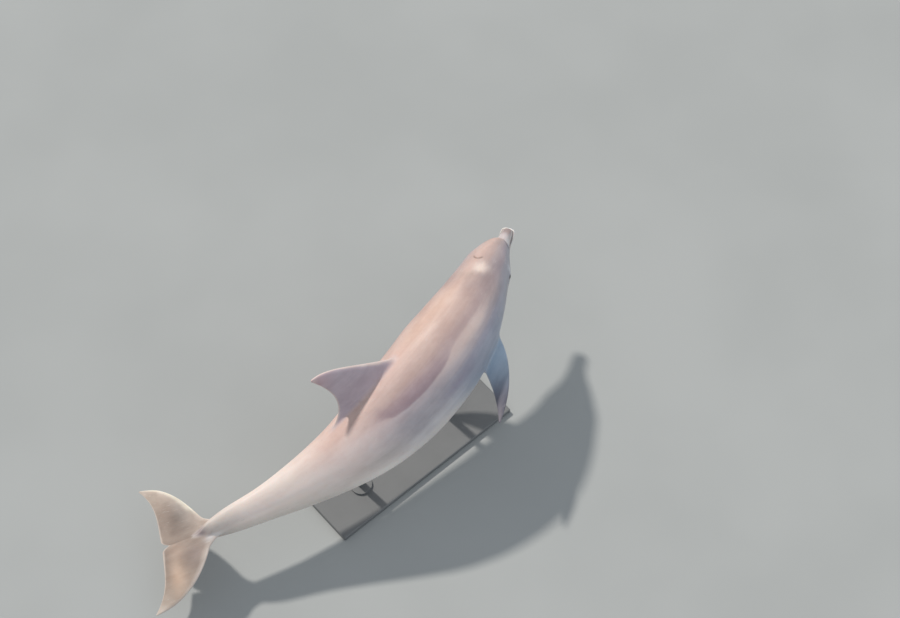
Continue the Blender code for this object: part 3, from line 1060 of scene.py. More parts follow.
@dataclass
class Flukes(Blade):
    """Both flukes as one wing from tip to tip, grown from the last ring of the tail stock.

    drawn is how far out the leading edge is drawn forward. notch is its depth and half
    width. levels is how far the wing's middle takes to leave the tail stock's. The keel's
    section changes from round to a bell over keel_change and fades over keel_fades; the
    bell has a reach and what it loses over keel_narrows, and a rounding, a shift and a
    power. lead_in is how fast the keel rises behind the leading edge, and how far out of
    the tail stock that comes in.
    """
    lead: tuple = ((0.905, 0.000), (0.936, 0.051), (0.960, 0.114), (1.058, 0.1265))
    trail: tuple = ((1.0225, 0.000), (1.0275, 0.042), (1.018, 0.083), (1.063, 0.1245))
    thick: float = 0.0095
    tip_thick: float = 0.0011
    foil: tuple = (2.01, 1.25)
    droop: float = 0.010
    drawn: float = 0.024
    notch: tuple = (0.016, 0.011)
    last: float = 0.985
    levels: float = 0.06
    lead_in: tuple = (6, 0.008)
    keel_reach: tuple = (2.0, 0.9)
    keel_bell: tuple = (0.03, 0.17, 1.6)
    keel_change: float = 0.030
    keel_narrows: tuple = (0.005, 0.045)
    keel_fades: tuple = (0.910, 0.956)
    rows: int = 34
    columns: int = 50
    tip_columns: int = 7

    def edges(self, ring_y: Array, start: float) -> tuple[Array, Array, Array]:
        """Front and rear end of each column from the midline out to the tip, and its span.

        Columns within the tail stock run straight back from the ring. Further out they join
        equal parameters of the two edge curves, and the leading edge is drawn forward beside
        the tail stock by the cube of what is left of a short way.

        Args:
            ring_y: distances out of the ring's points, the midline first.
            start: station of the ring.
        Returns:
            Front points, rear points (fractions of the length, aft and out) and span.
        """
        fine = np.linspace(0, 1, 2001)
        lead, trail = bezier(self.lead, fine), bezier(self.trail, fine)
        wide = ring_y[-1] / LENGTH
        first = float(np.interp(wide, lead[:, 1], fine))
        v = first + (1 - first) * np.sin(np.linspace(0, math.pi / 2, self.columns + 1))[1:]
        front, rear = bezier(self.lead, v), bezier(self.trail, v)
        gap = float(np.interp(wide, lead[:, 1], lead[:, 0])) - start
        left = ramp_down(front[:, 1] - wide, self.drawn)
        front[:, 0] -= gap * left**3
        rear_y = ring_y / ring_y[-1] * float(np.interp(first, fine, trail[:, 1]))
        inner_rear = np.stack([np.interp(rear_y, trail[:, 1], trail[:, 0]), rear_y], 1)
        inner_front = np.stack([np.full(len(ring_y), start), ring_y / LENGTH], 1)
        rear = np.vstack([inner_rear, rear])
        deep, half = self.notch
        rear[:, 0] -= deep * ramp_down(rear[:, 1], half)**2
        return (np.vstack([inner_front, front]), rear,
                np.concatenate([first * ring_y / ring_y[-1], v]))

    def heights(self, x: Array, y: Array, w: Array, v: Array, start: float,
                wide: float) -> tuple[Array, Array, Array]:
        """Middle surface and the rise above and fall below it.

        The blade is a foil; the tail stock runs out on it as a keel whose section passes
        from an ellipse to a bell and which fades before the notch. The two are joined by the
        cube root of the sum of their cubes.

        Args:
            x: stations of the points.
            y: distances out, as fractions of the length.
            w: positions along the chord.
            v: span positions.
            start: station of the ring.
            wide: half width of the ring.
        Returns:
            Middle height, rise and fall in metres.
        """
        top, bottom, half, widest, sharp = SHAPE.profile(np.minimum(x, self.last))
        beyond = np.clip(np.abs(y) - wide, 0, None) / (self.lead[3][1] - wide)
        middle = (-self.droop * beyond**2 * LENGTH
                  + widest * (1 - step_up(x, start, start + self.levels)))
        blade = self.half_thickness(w, v)
        q = np.abs(y) * LENGTH / half
        round_ = np.sqrt(np.clip(1 - q**(2 / sharp), 0, 1))
        (first, last), (reach, lost) = self.keel_narrows, self.keel_reach
        reach = reach - lost * step_up(x, start + first, start + last)
        rounding, shift, power = self.keel_bell
        bell = ramp_down(np.sqrt(q**2 + rounding) - shift, reach)**power
        change = step_up(x, start, start + self.keel_change)
        shape = (1 - change) * round_ + change * bell
        fast, out = self.lead_in
        fade = (1 - step_up(x, *self.keel_fades)) * (
            1 + (np.sqrt(np.clip(fast * w, 0, 1)) - 1) * step_up(np.abs(y), wide, wide + out))
        rise, fall = (((level * shape * fade)**3 + blade**3)**(1 / 3)
                      for level in (top - widest, widest - bottom))
        return middle, rise, fall

    def grow(self, hide: Hide, ring: Array, angle: Array) -> None:
        """Add the wing to the tail stock's last ring.

        Args:
            hide: the skin so far.
            ring: numbers of the ring's points, the keel first.
            angle: their angles.
        """
        quarter = len(ring) // 4
        start = Trunk.tail
        ring_y = SHAPE.point(np.full(quarter + 1, start),
                             angle[quarter:2 * quarter + 1])[::-1, 1]
        ring_y = np.maximum(ring_y, 0.0)
        front, rear, v = self.edges(ring_y, start)
        w = (1 - np.cos(np.linspace(0, math.pi, self.rows + 1))) / 2
        spot = front[:, None] + w[None, :, None] * (rear - front)[:, None]
        x, y = spot[..., 0], spot[..., 1]
        wide = ring_y[-1] / LENGTH
        middle, rise, fall = self.heights(x, y, w[None, :], v[:, None], start, wide)
        upper = np.stack([x * LENGTH, y * LENGTH, middle + rise], -1)
        lower = np.stack([x * LENGTH, y * LENGTH, middle - fall], -1)
        upper, lower = (self.with_tip(part, upper[-1], lower[-1]) for part in (upper, lower))
        flip = np.array([1.0, -1.0, 1.0])
        upper, lower = (np.concatenate([part[::-1], part[1:] * flip])
                        for part in (upper, lower))
        span = np.concatenate([v, np.ones(len(upper) // 2 + 1 - len(v))])
        span = np.concatenate([span[::-1], span[1:]])
        marks = {"fluke": np.ones(1), "chord": w[None, :], "span": span[:, None]}
        top, low = hide.add(upper, **marks), hide.add(lower, **marks)
        inner = slice(len(upper) // 2 - quarter, len(upper) // 2 + quarter + 1)
        low[:, [0, -1]] = top[:, [0, -1]]
        top[[0, -1]], low[[0, -1]] = top[[0, -1], :1], top[[0, -1], :1]
        top[inner, 0] = ring[quarter:3 * quarter + 1]
        low[inner, 0] = np.concatenate([ring[quarter::-1], ring[:3 * quarter - 1:-1]])
        hide.cover(top)
        hide.cover(low[:, ::-1])

    def with_tip(self, part: Array, upper: Array, lower: Array) -> Array:
        """One side with its tip's rounded columns, the last of them a single point.

        The tip's section shrinks about its middle with the cosine and moves out with the
        sine of a quarter turn.

        Args:
            part: columns of points of this side.
            upper: last column of the upper side.
            lower: last column of the lower side.
        Returns:
            The columns with those of the tip after them.
        """
        heart = (upper + lower).mean(axis=0) / 2
        chord = np.linalg.norm(upper[-1] - upper[0])
        ends = (bezier(edge, np.array([0.98, 1.0])) for edge in (self.lead, self.trail))
        aft, out = sum(end[1] - end[0] for end in ends)
        way = np.array([aft, out, 0.0]) / math.hypot(aft, out) * chord / 2
        turn = np.linspace(0, math.pi / 2, self.tip_columns)[1:, None, None]
        tip = heart + (part[-1] - heart) * np.cos(turn) + way * np.sin(turn)
        return np.concatenate([part, tip])


@dataclass
class Lids:
    """The eyelids round one almond opening, their rims rolled in behind the eyeball.

    long and high are half the size of the hole they fill, with rows closer towards the
    almond edge. Each row of rolled is the size of that edge there and its depth in metres.
    """
    side: Side
    long: float = 0.0112
    high: float = 20.0 * MM
    rows: int = 12
    closer: float = 0.4
    rolled: tuple = ((0.985, 0.0003), (0.955, 0.0011), (0.95, 0.0022), (0.97, 0.0040),
                     (1.00, 0.0075), (0.70, 0.0105), (0.35, 0.0120))
    pole_deeper: float = 0.4 * MM

    def block(self, s: Array, angle: Array) -> tuple[tuple, tuple]:
        """First and last row and column of the hole in the body's grid.

        Args:
            s: station of each point of the grid.
            angle: angle of each point.
        Returns:
            The two corners of the block.
        """
        r0, r1 = np.searchsorted(s[:, 0], (SOCKET.station - self.long,
                                           SOCKET.station + self.long))
        row = angle[(r0 + r1) // 2]
        eye, turn = SOCKET.turn(self.side), self.high / SOCKET.girth()
        c0, c1 = np.searchsorted(row, (eye - turn, eye + turn))
        return (int(r0), int(c0)), (int(r1), int(c1))

    def grow(self, hide: Hide, rim: Array, s: Array, angle: Array) -> None:
        """Fill the hole with rows down to the almond edge, and roll the edge in.

        The edge is x = long cos, y = high sin squared with the sign of the sine, which is a
        pair of parabolas; a point's turn is its direction from the eye's middle.

        Args:
            hide: the skin so far.
            rim: numbers of the points round the hole.
            s: their stations.
            angle: their angles.
        """
        girth, eye = SOCKET.girth(), SOCKET.turn(self.side)
        aft, up = (s - SOCKET.station) * LENGTH, (angle - eye) * girth
        turn = np.arctan2(up, aft)
        edge_x = SOCKET.long * np.cos(turn)
        edge_y = SOCKET.high * np.sin(turn) * np.abs(np.sin(turn))
        grids = [skin_point(SOCKET.station + (aft + (edge_x - aft) * share) / LENGTH,
                            eye + (up + (edge_y - up) * share) / girth)
                 for share in shares(self.rows, self.closer)]
        edge, middle = grids[-1], grids[-1].mean(axis=0)
        inward = np.array([0.0, -self.side.value, 0.0])
        grids += [middle + (edge - middle) * size + inward * depth
                  for size, depth in self.rolled]
        inside = np.arange(len(grids)) >= self.rows - 1
        index = hide.add(np.array(grids), lining=inside[:, None] * 1.0)
        deepest = self.rolled[-1][1] + self.pole_deeper
        pole = hide.add((middle + inward * deepest)[None, :], lining=1.0)
        hide.tube(np.vstack([rim, index, np.broadcast_to(pole, rim.shape)]))


# ---- the skin ----------------------------------------------------------------------------

@dataclass
class Skin:
    """The one skin of the animal, worked out straight and then bent into its pose.

    Its joins are smoothed in steps, each by a share of the way. tail_joint is where the
    flukes leave the tail stock and how far that is smoothed, along and out. keel is the half
    width of the tail stock's colour on the flukes, where it starts and how far it runs.
    """
    name: str = "dolphin_skin"
    steps: int = 24
    share: float = 0.7
    fillet_share: float = 0.8
    tail_joint: tuple = (0.905, 0.018, 0.022, 0.02)
    tail_colour: tuple = (0.897, 0.912)
    keel: tuple = (0.016, 0.905, 0.047)
    keel_edge: float = 0.006

    def growths(self) -> list:
        """The back fin, the flippers and the eyelids.

        Returns:
            All that grows out of holes in the trunk's grid.
        """
        dorsal = Fin(((0.375, 0.066), (0.458, 0.141), (0.509, 0.1985), (0.5665, 0.2020)),
                     ((0.622, 0.066), (0.516, 0.1015), (0.560, 0.174), (0.5705, 0.1955)),
                     0.0125, 0.0020, between=(0.358, 0.645), columns=(70, 90))
        flippers = [Flipper(((-0.045, -0.012), (0.005, 0.034), (0.080, 0.043), (0.153, 0.0275)),
                            ((0.010, -0.034), (0.060, -0.020), (0.085, 0.008),
                             (0.1525, 0.0235)), 0.0095, 0.0012, taper=0.7,
                            between=(0.196, 0.330), columns=columns, more_at_ends=0.6,
                            side=side)
                    for side, columns in ((Side.LEFT, (6, 34)), (Side.RIGHT, (126, 154)))]
        return [dorsal, *flippers, *(Lids(side) for side in Side)]

    def relax(self, points: Array, faces: list, weight: Array) -> Array:
        """Move points towards the mean of their neighbours, by their weight, repeatedly.

        Args:
            points: the points.
            faces: triangles and quads over them.
            weight: 0 to 1 for each point.
        Returns:
            The moved points.
        """
        loops = [np.array([f for f in faces if len(f) == size]).reshape(-1, size)
                 for size in (3, 4)]
        ends = np.vstack([np.stack([f.ravel(), np.roll(f, -1, axis=1).ravel()], 1)
                          for f in loops])
        ends = ends[(weight[ends] > 0).any(axis=1)]
        degree = np.bincount(ends.ravel(), minlength=len(points)).clip(1)[:, None]
        for _ in range(self.steps):
            total = np.stack([np.bincount(ends[:, 0], points[ends[:, 1], k], len(points))
                              + np.bincount(ends[:, 1], points[ends[:, 0], k], len(points))
                              for k in range(3)], 1)
            points = points + self.share * weight[:, None] * (total / degree - points)
        return points

    def softness(self, hide: Hide, points: Array) -> Array:
        """How much each point is smoothed: the fillets, and where the flukes leave the tail.

        Args:
            hide: the skin, whose points hold the fillets' weights.
            points: its straight points.
        Returns:
            Weights from 0 to 1.
        """
        s, out = points[:, 0] / LENGTH, np.abs(points[:, 1]) / LENGTH
        joint, along, whole, fading = self.tail_joint
        tail = ramp_down(np.abs(s - joint), along) * ramp_down(out - whole, fading)
        return np.maximum(hide.value("soft") * self.fillet_share, tail)

    def build(self) -> bpy.types.Object:
        """The finished skin, built straight, smoothed at its joins and bent into the pose.

        Returns:
            The skin object.
        """
        hide = Hide()
        ring, angle = Trunk().build(hide, self.growths())
        Flukes().grow(hide, ring, angle)
        points = np.vstack(hide.points)
        points = self.relax(points, hide.faces, self.softness(hide, points))
        made = hide.surface(self.values(hide, points), points).make(self.name)
        turn_outward(made.data)
        return made

    def values(self, hide: Hide, points: Array) -> dict:
        """The per-point values that the finish reads.

        Args:
            hide: the skin with its chord, span and fin values.
            points: its straight points.
        Returns:
            Arrays by attribute name.
        """
        s, angle, _ = SHAPE.locate(points)
        fins = [hide.value(key) for key in ("dorsal", "flipper", "fluke")]
        aft, out = points[:, 0] / LENGTH, np.abs(points[:, 1]) / LENGTH
        fins[2] = fins[2] * step_up(aft, *self.tail_colour)
        body = 1 - np.max(fins, axis=0)
        wide, start, run = self.keel
        keel = wide * ramp_down(aft - start, run)
        blade = np.where(aft > start + run, 1.0, step_up(out, keel, keel + self.keel_edge))
        folded = np.arcsin(np.clip(np.sin(angle), -1, 1)) / (math.pi / 2)
        return {"around": folded, "dorsal": fins[0], "flipper": fins[1], "fluke": fins[2],
                "chord": hide.value("chord"), "span": hide.value("span"), "blade": blade,
                "lip": MOUTH.lips(s, angle) * body,
                "groove": MOUTH.groove(s, angle) * body,
                "vent": BLOWHOLE.strength(s, angle) * body,
                "crease": MELON.strength(s, angle) * body,
                "lid": np.maximum(SOCKET.shade(s, angle), hide.value("lining")) * body}


def turn_outward(mesh: bpy.types.Mesh) -> None:
    """Make all faces of a closed mesh point outwards.

    Args:
        mesh: the mesh to turn.
    """
    work = bmesh.new()
    work.from_mesh(mesh)
    bmesh.ops.recalc_face_normals(work, faces=work.faces)
    work.to_mesh(mesh)
    work.free()


# ---- finishes ----------------------------------------------------------------------------

@dataclass(frozen=True)
class Grain:
    """A noise: repeats per metre on each axis, octaves, their roughness, and distortion."""
    often: tuple
    size: float = 1.0
    octaves: float = 3.0
    rough: float = 0.5
    twist: float = 0.0


class Nodes:
    """Short ways to add shader nodes to one material."""

    def __init__(self, name: str) -> None:
        """Start an empty Principled material.

        Args:
            name: name of the material.
        """
        self.material = bpy.data.materials.new(name)
        self.material.use_nodes = True
        self.tree = self.material.node_tree
        self.shader = self.tree.nodes["Principled BSDF"].inputs

    def add(self, kind: str, **inputs: Source) -> bpy.types.Node:
        """A new node with some of its inputs joined or set.

        Args:
            kind: the kind of shader node.
            inputs: outputs, numbers or vectors by the input's name, _ for a space.
        Returns:
            The node.
        """
        node = self.tree.nodes.new("ShaderNode" + kind)
        for key, source in inputs.items():
            self.link(source, node.inputs[key.replace("_", " ")])
        return node

    def link(self, source: Source, target: Socket) -> None:
        """Join two sockets, or set the target's value when the source is a number.

        Args:
            source: an output, or the number or vector to set.
            target: the input.
        """
        if isinstance(source, (int, float, tuple)):
            target.default_value = source
        else:
            self.tree.links.new(source, target)

    def finish(self, **inputs: Source) -> bpy.types.Material:
        """Join or set inputs of the shader.

        Args:
            inputs: outputs or numbers by the input's name, _ for a space.
        Returns:
            The finished material.
        """
        for key, source in inputs.items():
            self.link(source, self.shader[key.replace("_", " ")])
        return self.material

    def value(self, name: str, kind: str = "Fac") -> Socket:
        """An attribute of the mesh's points.

        Args:
            name: the attribute.
            kind: Fac for a number or Vector for a vector.
        Returns:
            Its output.
        """
        node = self.add("Attribute")
        node.attribute_name = name
        return node.outputs[kind]

    def math(self, operation: str, *sources: Source) -> Socket:
        """A Math node over sockets or numbers.

        Args:
            operation: the node's operation.
            sources: its operands.
        Returns:
            The result.
        """
        node = self.add("Math")
        node.operation = operation
        for source, socket in zip(sources, node.inputs):
            self.link(source, socket)
        return node.outputs[0]

    def times(self, first: Source, second: Source) -> Socket:
        """The product of two values."""
        return self.math("MULTIPLY", first, second)

    def less(self, first: Source, second: Source) -> Socket:
        """The first value less the second."""
        return self.math("SUBTRACT", first, second)

    def rest(self, source: Source) -> Socket:
        """One less the value."""
        return self.less(1.0, source)

    def most(self, first: Source, second: Source) -> Socket:
        """The larger of two values."""
        return self.math("MAXIMUM", first, second)

    def sway(self, noise: Socket, amount: float, source: Source) -> Socket:
        """A value swayed by a noise: (noise - 0.5) times the amount, added to it."""
        return self.math("MULTIPLY_ADD", self.less(noise, 0.5), amount, source)

    def share(self, vector: Socket, axis: str) -> Socket:
        """One coordinate of a straight place, as a fraction of the length."""
        return self.math("DIVIDE", self.add("SeparateXYZ", Vector=vector).outputs[axis], LENGTH)

    def between(self, source: Socket, low: float, high: float) -> Socket:
        """Smooth step of a value from 0 at low to 1 at high.

        Args:
            source: the value.
            low: where the step starts.
            high: where it ends.
        Returns:
            The step.
        """
        node = self.add("MapRange")
        node.interpolation_type = "SMOOTHSTEP"
        node.inputs["From Min"].default_value = low
        node.inputs["From Max"].default_value = high
        self.link(source, node.inputs["Value"])
        return node.outputs["Result"]

    def noise(self, vector: Socket, grain: Grain) -> Socket:
        """A Noise texture's grey output, read at a stretched vector.

        Args:
            vector: where to read it.
            grain: its sizes.
        Returns:
            The grey value.
        """
        at = self.add("Mapping", Scale=grain.often, Vector=vector).outputs[0]
        return self.add("TexNoise", Scale=grain.size, Detail=grain.octaves,
                        Roughness=grain.rough, Distortion=grain.twist,
                        Vector=at).outputs["Fac"]

    def ramp(self, source: Socket, stops: Sequence[tuple]) -> Socket:
        """A colour ramp.

        Args:
            source: the value that runs along the ramp.
            stops: positions with a colour or a grey.
        Returns:
            The colour.
        """
        node = self.add("ValToRGB", Fac=source)
        node.color_ramp.interpolation = "EASE"
        while len(node.color_ramp.elements) < len(stops):
            node.color_ramp.elements.new(1.0)
        for element, (place, colour) in zip(node.color_ramp.elements, stops):
            grey = (colour,) * 3 if isinstance(colour, (int, float)) else colour
            element.position, element.color = place, (*grey, 1.0)
        return node.outputs["Color"]

    def mix(self, amount: Source, first: Source, second: Source,
            blend: str = "MIX") -> Socket:
        """A colour Mix node.

        Args:
            amount: 0 for the first colour, 1 for the second.
            first: a colour.
            second: the other one.
            blend: the node's way to blend.
        Returns:
            The mixed colour.
        """
        node = self.add("Mix")
        node.data_type, node.blend_type = "RGBA", blend
        self.link(amount, node.inputs[0])
        for source, socket in ((first, node.inputs[6]), (second, node.inputs[7])):
            self.link((*source, 1.0) if isinstance(source, tuple) else source, socket)
        return node.outputs[2]

    def mottle(self, colour: Source, grain: Socket, strength: float, low: tuple,
               high: tuple) -> Socket:
        """Lighten and darken a colour softly by a noise.

        Args:
            colour: the colour.
            grain: the noise.
            strength: how much of the change is used.
            low: a grain and the grey there; 0.5 changes nothing.
            high: a higher one and its grey.
        Returns:
            The mottled colour.
        """
        return self.mix(strength, colour, self.ramp(grain, (low, high)), "SOFT_LIGHT")

    def bump(self, height: Socket, distance: float, strength: float,
             before: Socket | None = None) -> Socket:
        """A Bump node's normal, on top of another when given.

        Args:
            height: the relief.
            distance: its depth, m.
            strength: how much of it is used.
            before: the normal under it.
        Returns:
            The normal.
        """
        under = {} if before is None else {"Normal": before}
        return self.add("Bump", Height=height, Distance=distance, Strength=strength,
                        **under).outputs["Normal"]


@dataclass(frozen=True)
class Spot:
    """A soft patch of another colour: a bell in station times a bell in height.

    A patch with a side is only there, and fades in over a way across the middle.
    """
    station: float
    height: float
    long: float
    tall: float
    strength: float
    colour: tuple
    side: Side | None = None
    fade: tuple = (-0.002, 0.006)

    def amount(self, n: Nodes, station: Socket, height: Socket, across: Socket) -> Socket:
        """Strength times exp of minus the two squared distances, each over its size.

        A patch of one side only fades out across the middle of the back.

        Args:
            n: the material's nodes.
            station: socket of the station.
            height: socket of the height.
            across: socket of the distance to port.
        Returns:
            Socket of the amount.
        """
        along = n.math("DIVIDE", n.less(station, self.station), self.long)
        up = n.math("DIVIDE", n.less(height, self.height), self.tall)
        far = n.math("ADD", n.times(along, along), n.times(up, up))
        bell = n.times(n.math("EXPONENT", n.times(far, -1.0)), self.strength)
        if self.side is None:
            return bell
        return n.times(bell, n.between(n.times(across, self.side.value), *self.fade))


# Soft patches of colour; those marked painted shade or painted highlight stand in for light and
# shade on the head, neck, belly and keel.
SPOTS = (Spot(0.195, 0.80, 0.036, 0.18, 0.60, (0.36, 0.27, 0.265)),    # painted shade of a hollow on the neck
         Spot(0.140, 0.73, 0.020, 0.07, 0.45, (0.33, 0.27, 0.28)),     # painted shade on the side of the head before the eye
         Spot(0.178, 0.95, 0.011, 0.07, 0.45, (0.40, 0.30, 0.26)),     # painted shade of a fold on the nape
         Spot(0.178, 0.78, 0.012, 0.05, 0.35, (0.30, 0.23, 0.23), Side.RIGHT),    # its end, painted shade on the right side
         Spot(0.156, 0.875, 0.011, 0.075, 0.70, (0.96, 0.82, 0.74), Side.RIGHT),  # painted highlight of a bulge behind the blowhole
         Spot(0.048, 0.70, 0.009, 0.13, 0.75, (0.88, 0.83, 0.83)),     # painted highlight at the root of the beak
         Spot(0.119, 0.52, 0.008, 0.07, 0.50, (0.70, 0.71, 0.76)),     # painted highlight on the brow
         Spot(0.138, 0.42, 0.014, 0.07, 0.30, (0.20, 0.20, 0.23)),     # painted shade behind the eye
         Spot(0.272, 0.67, 0.030, 0.035, 0.50, (0.80, 0.64, 0.58)),    # pale shoulder
         Spot(0.370, 0.515, 0.035, 0.035, 0.60, (0.34, 0.30, 0.38)),   # mauve flank
         Spot(0.700, 0.62, 0.080, 0.060, 0.30, (0.98, 0.86, 0.80)),    # pale rear flank
         Spot(0.580, 0.31, 0.055, 0.085, 0.90, (1.00, 0.93, 0.88)),    # pale belly's side, made brighter as painted light on its shaded side
         Spot(0.560, 0.49, 0.050, 0.055, 0.28, (0.38, 0.36, 0.34)),    # grey above it
         Spot(0.115, 0.515, 0.006, 0.04, 0.35, (0.84, 0.84, 0.86)),    # painted highlight on the brow bulge
         Spot(0.932, 0.80, 0.022, 0.30, 0.90, (0.26, 0.21, 0.22)),     # painted shade on the keel where it runs onto the flukes
         Spot(0.903, 0.55, 0.010, 0.05, 0.60, (0.86, 0.84, 0.84)))     # painted highlight on the side of the keel

# Patches on the flukes; two are partly painted shade and one is a painted highlight, as marked.
FLUKE_SPOTS = (Spot(0.997, -0.066, 0.018, 0.038, 0.55, (0.80, 0.58, 0.44)),   # warm patch
               Spot(0.990, -0.015, 0.020, 0.016, 0.35, (0.56, 0.40, 0.32)),   # by the notch
               Spot(0.966, 0.046, 0.036, 0.046, 0.80, (0.20, 0.16, 0.14)),    # brown patch, darkened further as painted shade over the left fluke's highlight ridge
               Spot(0.968, 0.060, 0.022, 0.026, 0.60, (0.16, 0.13, 0.115)),   # its middle, painted shade over the same highlight ridge
               Spot(0.950, -0.036, 0.020, 0.018, 0.40, (0.32, 0.255, 0.245)),   # brown shade
               Spot(0.914, -0.018, 0.014, 0.009, 0.75, (0.74, 0.74, 0.76)))   # painted highlight at the root of the right fluke


@dataclass(frozen=True)
class SkinFinish:
    """Smooth moist hide: a warm pink back, lilac grey flanks, and a pale tail and belly.

    Each table of stops runs from the keel (0) by the widest level (0.5) to the back (1), and
    bands are the stations where one table gives way to the next. The cape line's height and
    strength run along the length. Pairs of numbers are where a change starts and ends: at
    stations, heights, shares of a fin's chord or span, or greys of a noise. by, share and
    strength are how much of a change is used.
    """
    head: tuple = ((0.00, (0.70, 0.64, 0.61)), (0.34, (0.60, 0.57, 0.56)),
                   (0.50, (0.42, 0.41, 0.45)), (0.62, (0.41, 0.385, 0.425)),
                   (0.70, (0.45, 0.375, 0.405)), (0.80, (0.49, 0.40, 0.40)),
                   (0.87, (0.52, 0.395, 0.37)), (1.00, (0.61, 0.45, 0.405)))
    shoulder: tuple = ((0.00, (0.74, 0.69, 0.66)), (0.17, (0.66, 0.63, 0.62)),
                       (0.33, (0.34, 0.38, 0.46)), (0.50, (0.37, 0.385, 0.46)),
                       (0.56, (0.42, 0.40, 0.47)), (0.61, (0.53, 0.45, 0.47)),
                       (0.67, (0.68, 0.54, 0.51)), (0.76, (0.54, 0.40, 0.37)),
                       (0.84, (0.56, 0.41, 0.37)), (1.00, (0.63, 0.445, 0.375)))
    middle: tuple = ((0.00, (0.78, 0.72, 0.69)), (0.30, (0.74, 0.69, 0.67)),
                     (0.42, (0.60, 0.57, 0.59)), (0.50, (0.47, 0.44, 0.47)),
                     (0.56, (0.45, 0.41, 0.44)), (0.66, (0.54, 0.46, 0.48)),
                     (0.72, (0.51, 0.38, 0.38)), (0.80, (0.53, 0.39, 0.36)),
                     (0.90, (0.59, 0.43, 0.39)), (1.00, (0.66, 0.47, 0.42)))
    rear: tuple = ((0.00, (0.80, 0.74, 0.70)), (0.30, (0.80, 0.74, 0.70)),
                   (0.46, (0.73, 0.63, 0.59)), (0.60, (0.82, 0.68, 0.64)),
                   (0.70, (0.77, 0.63, 0.60)), (0.80, (0.69, 0.53, 0.49)),
                   (0.88, (0.66, 0.48, 0.43)), (1.00, (0.65, 0.48, 0.43)))
    tail: tuple = ((0.00, (0.84, 0.77, 0.72)), (0.35, (0.76, 0.69, 0.63)),
                   (0.48, (0.80, 0.70, 0.64)), (0.58, (0.92, 0.79, 0.72)),
                   (0.66, (0.90, 0.76, 0.70)), (0.74, (0.80, 0.69, 0.64)),
                   (0.84, (0.81, 0.695, 0.64)), (1.00, (0.75, 0.645, 0.60)))
    bands: tuple = ((0.13, 0.26), (0.33, 0.43), (0.46, 0.61), (0.60, 0.74))
    waver_by: float = 0.06
    beak: tuple = (0.60, 0.53, 0.535)
    beak_tip: tuple = (0.33, 0.255, 0.25)
    beak_side: tuple = (0.66, 0.60, 0.58)
    beak_at: tuple = (0.035, 0.058)
    beak_tip_at: tuple = (0.012, 0.034)
    beak_side_at: tuple = (0.60, 0.84)
    cape: tuple = (0.37, 0.27, 0.30)
    cape_edge: tuple = (-0.008, 0.012)
    cape_fade: tuple = (0.02, 0.13)
    cape_line: tuple = ((0.15, 0.740), (0.22, 0.722), (0.31, 0.715), (0.36, 0.675),
                        (0.40, 0.661), (0.455, 0.662), (0.485, 0.682), (0.51, 0.72),
                        (0.56, 0.78))
    cape_strength: tuple = ((0.16, 0.0), (0.21, 0.30), (0.31, 0.35), (0.385, 0.85),
                            (0.45, 1.0), (0.49, 0.80), (0.54, 0.0))
    dorsal: tuple = (0.51, 0.42, 0.465)
    dorsal_end: tuple = (0.56, 0.39, 0.42)
    dorsal_end_at: tuple = (0.55, 0.98)
    flipper: tuple = (0.36, 0.45, 0.56)
    flipper_end: tuple = (0.145, 0.14, 0.175)
    flipper_end_at: tuple = (0.35, 0.85)
    fluke: tuple = (0.38, 0.30, 0.255)
    fluke_dark: tuple = (0.30, 0.237, 0.205)
    fluke_clouds: tuple = (0.36, 0.62)
    fluke_end: tuple = (0.49, 0.405, 0.345)
    fluke_end_at: tuple = (0.45, 0.95)
    stock_end: tuple = (0.56, 0.51, 0.47)
    stock_end_at: tuple = (0.82, 0.90)
    stock_end_by: float = 0.65
    fin_edge: tuple = (0.74, 0.61, 0.56)
    fluke_edge: tuple = (0.68, 0.59, 0.53)
    # The next colour is painted light on the front of the left fluke, where the blade slopes away
    # from the key light.
    fluke_painted_light: tuple = (1.00, 0.94, 0.80)
    front_at: tuple = (0.01, 0.16)
    # Where that painted light lies: out from the middle, and along the chord.
    painted_light_at: tuple = ((0.030, 0.070), (0.04, 0.27))
    front_by: float = 0.6
    rim_at: tuple = (0.004, 0.055)
    rim_ragged: float = 0.10
    rim_by: float = 0.80
    tip_at: tuple = (0.82, 1.0)
    tip_by: float = 0.6
    flipper_rim: float = 0.18
    pale: tuple = (0.86, 0.78, 0.73)
    # Pale lips, made paler as painted light where the lower lip's shelf lies in shade.
    lip: tuple = (0.93, 0.88, 0.85)
    dark: tuple = (0.085, 0.065, 0.065)
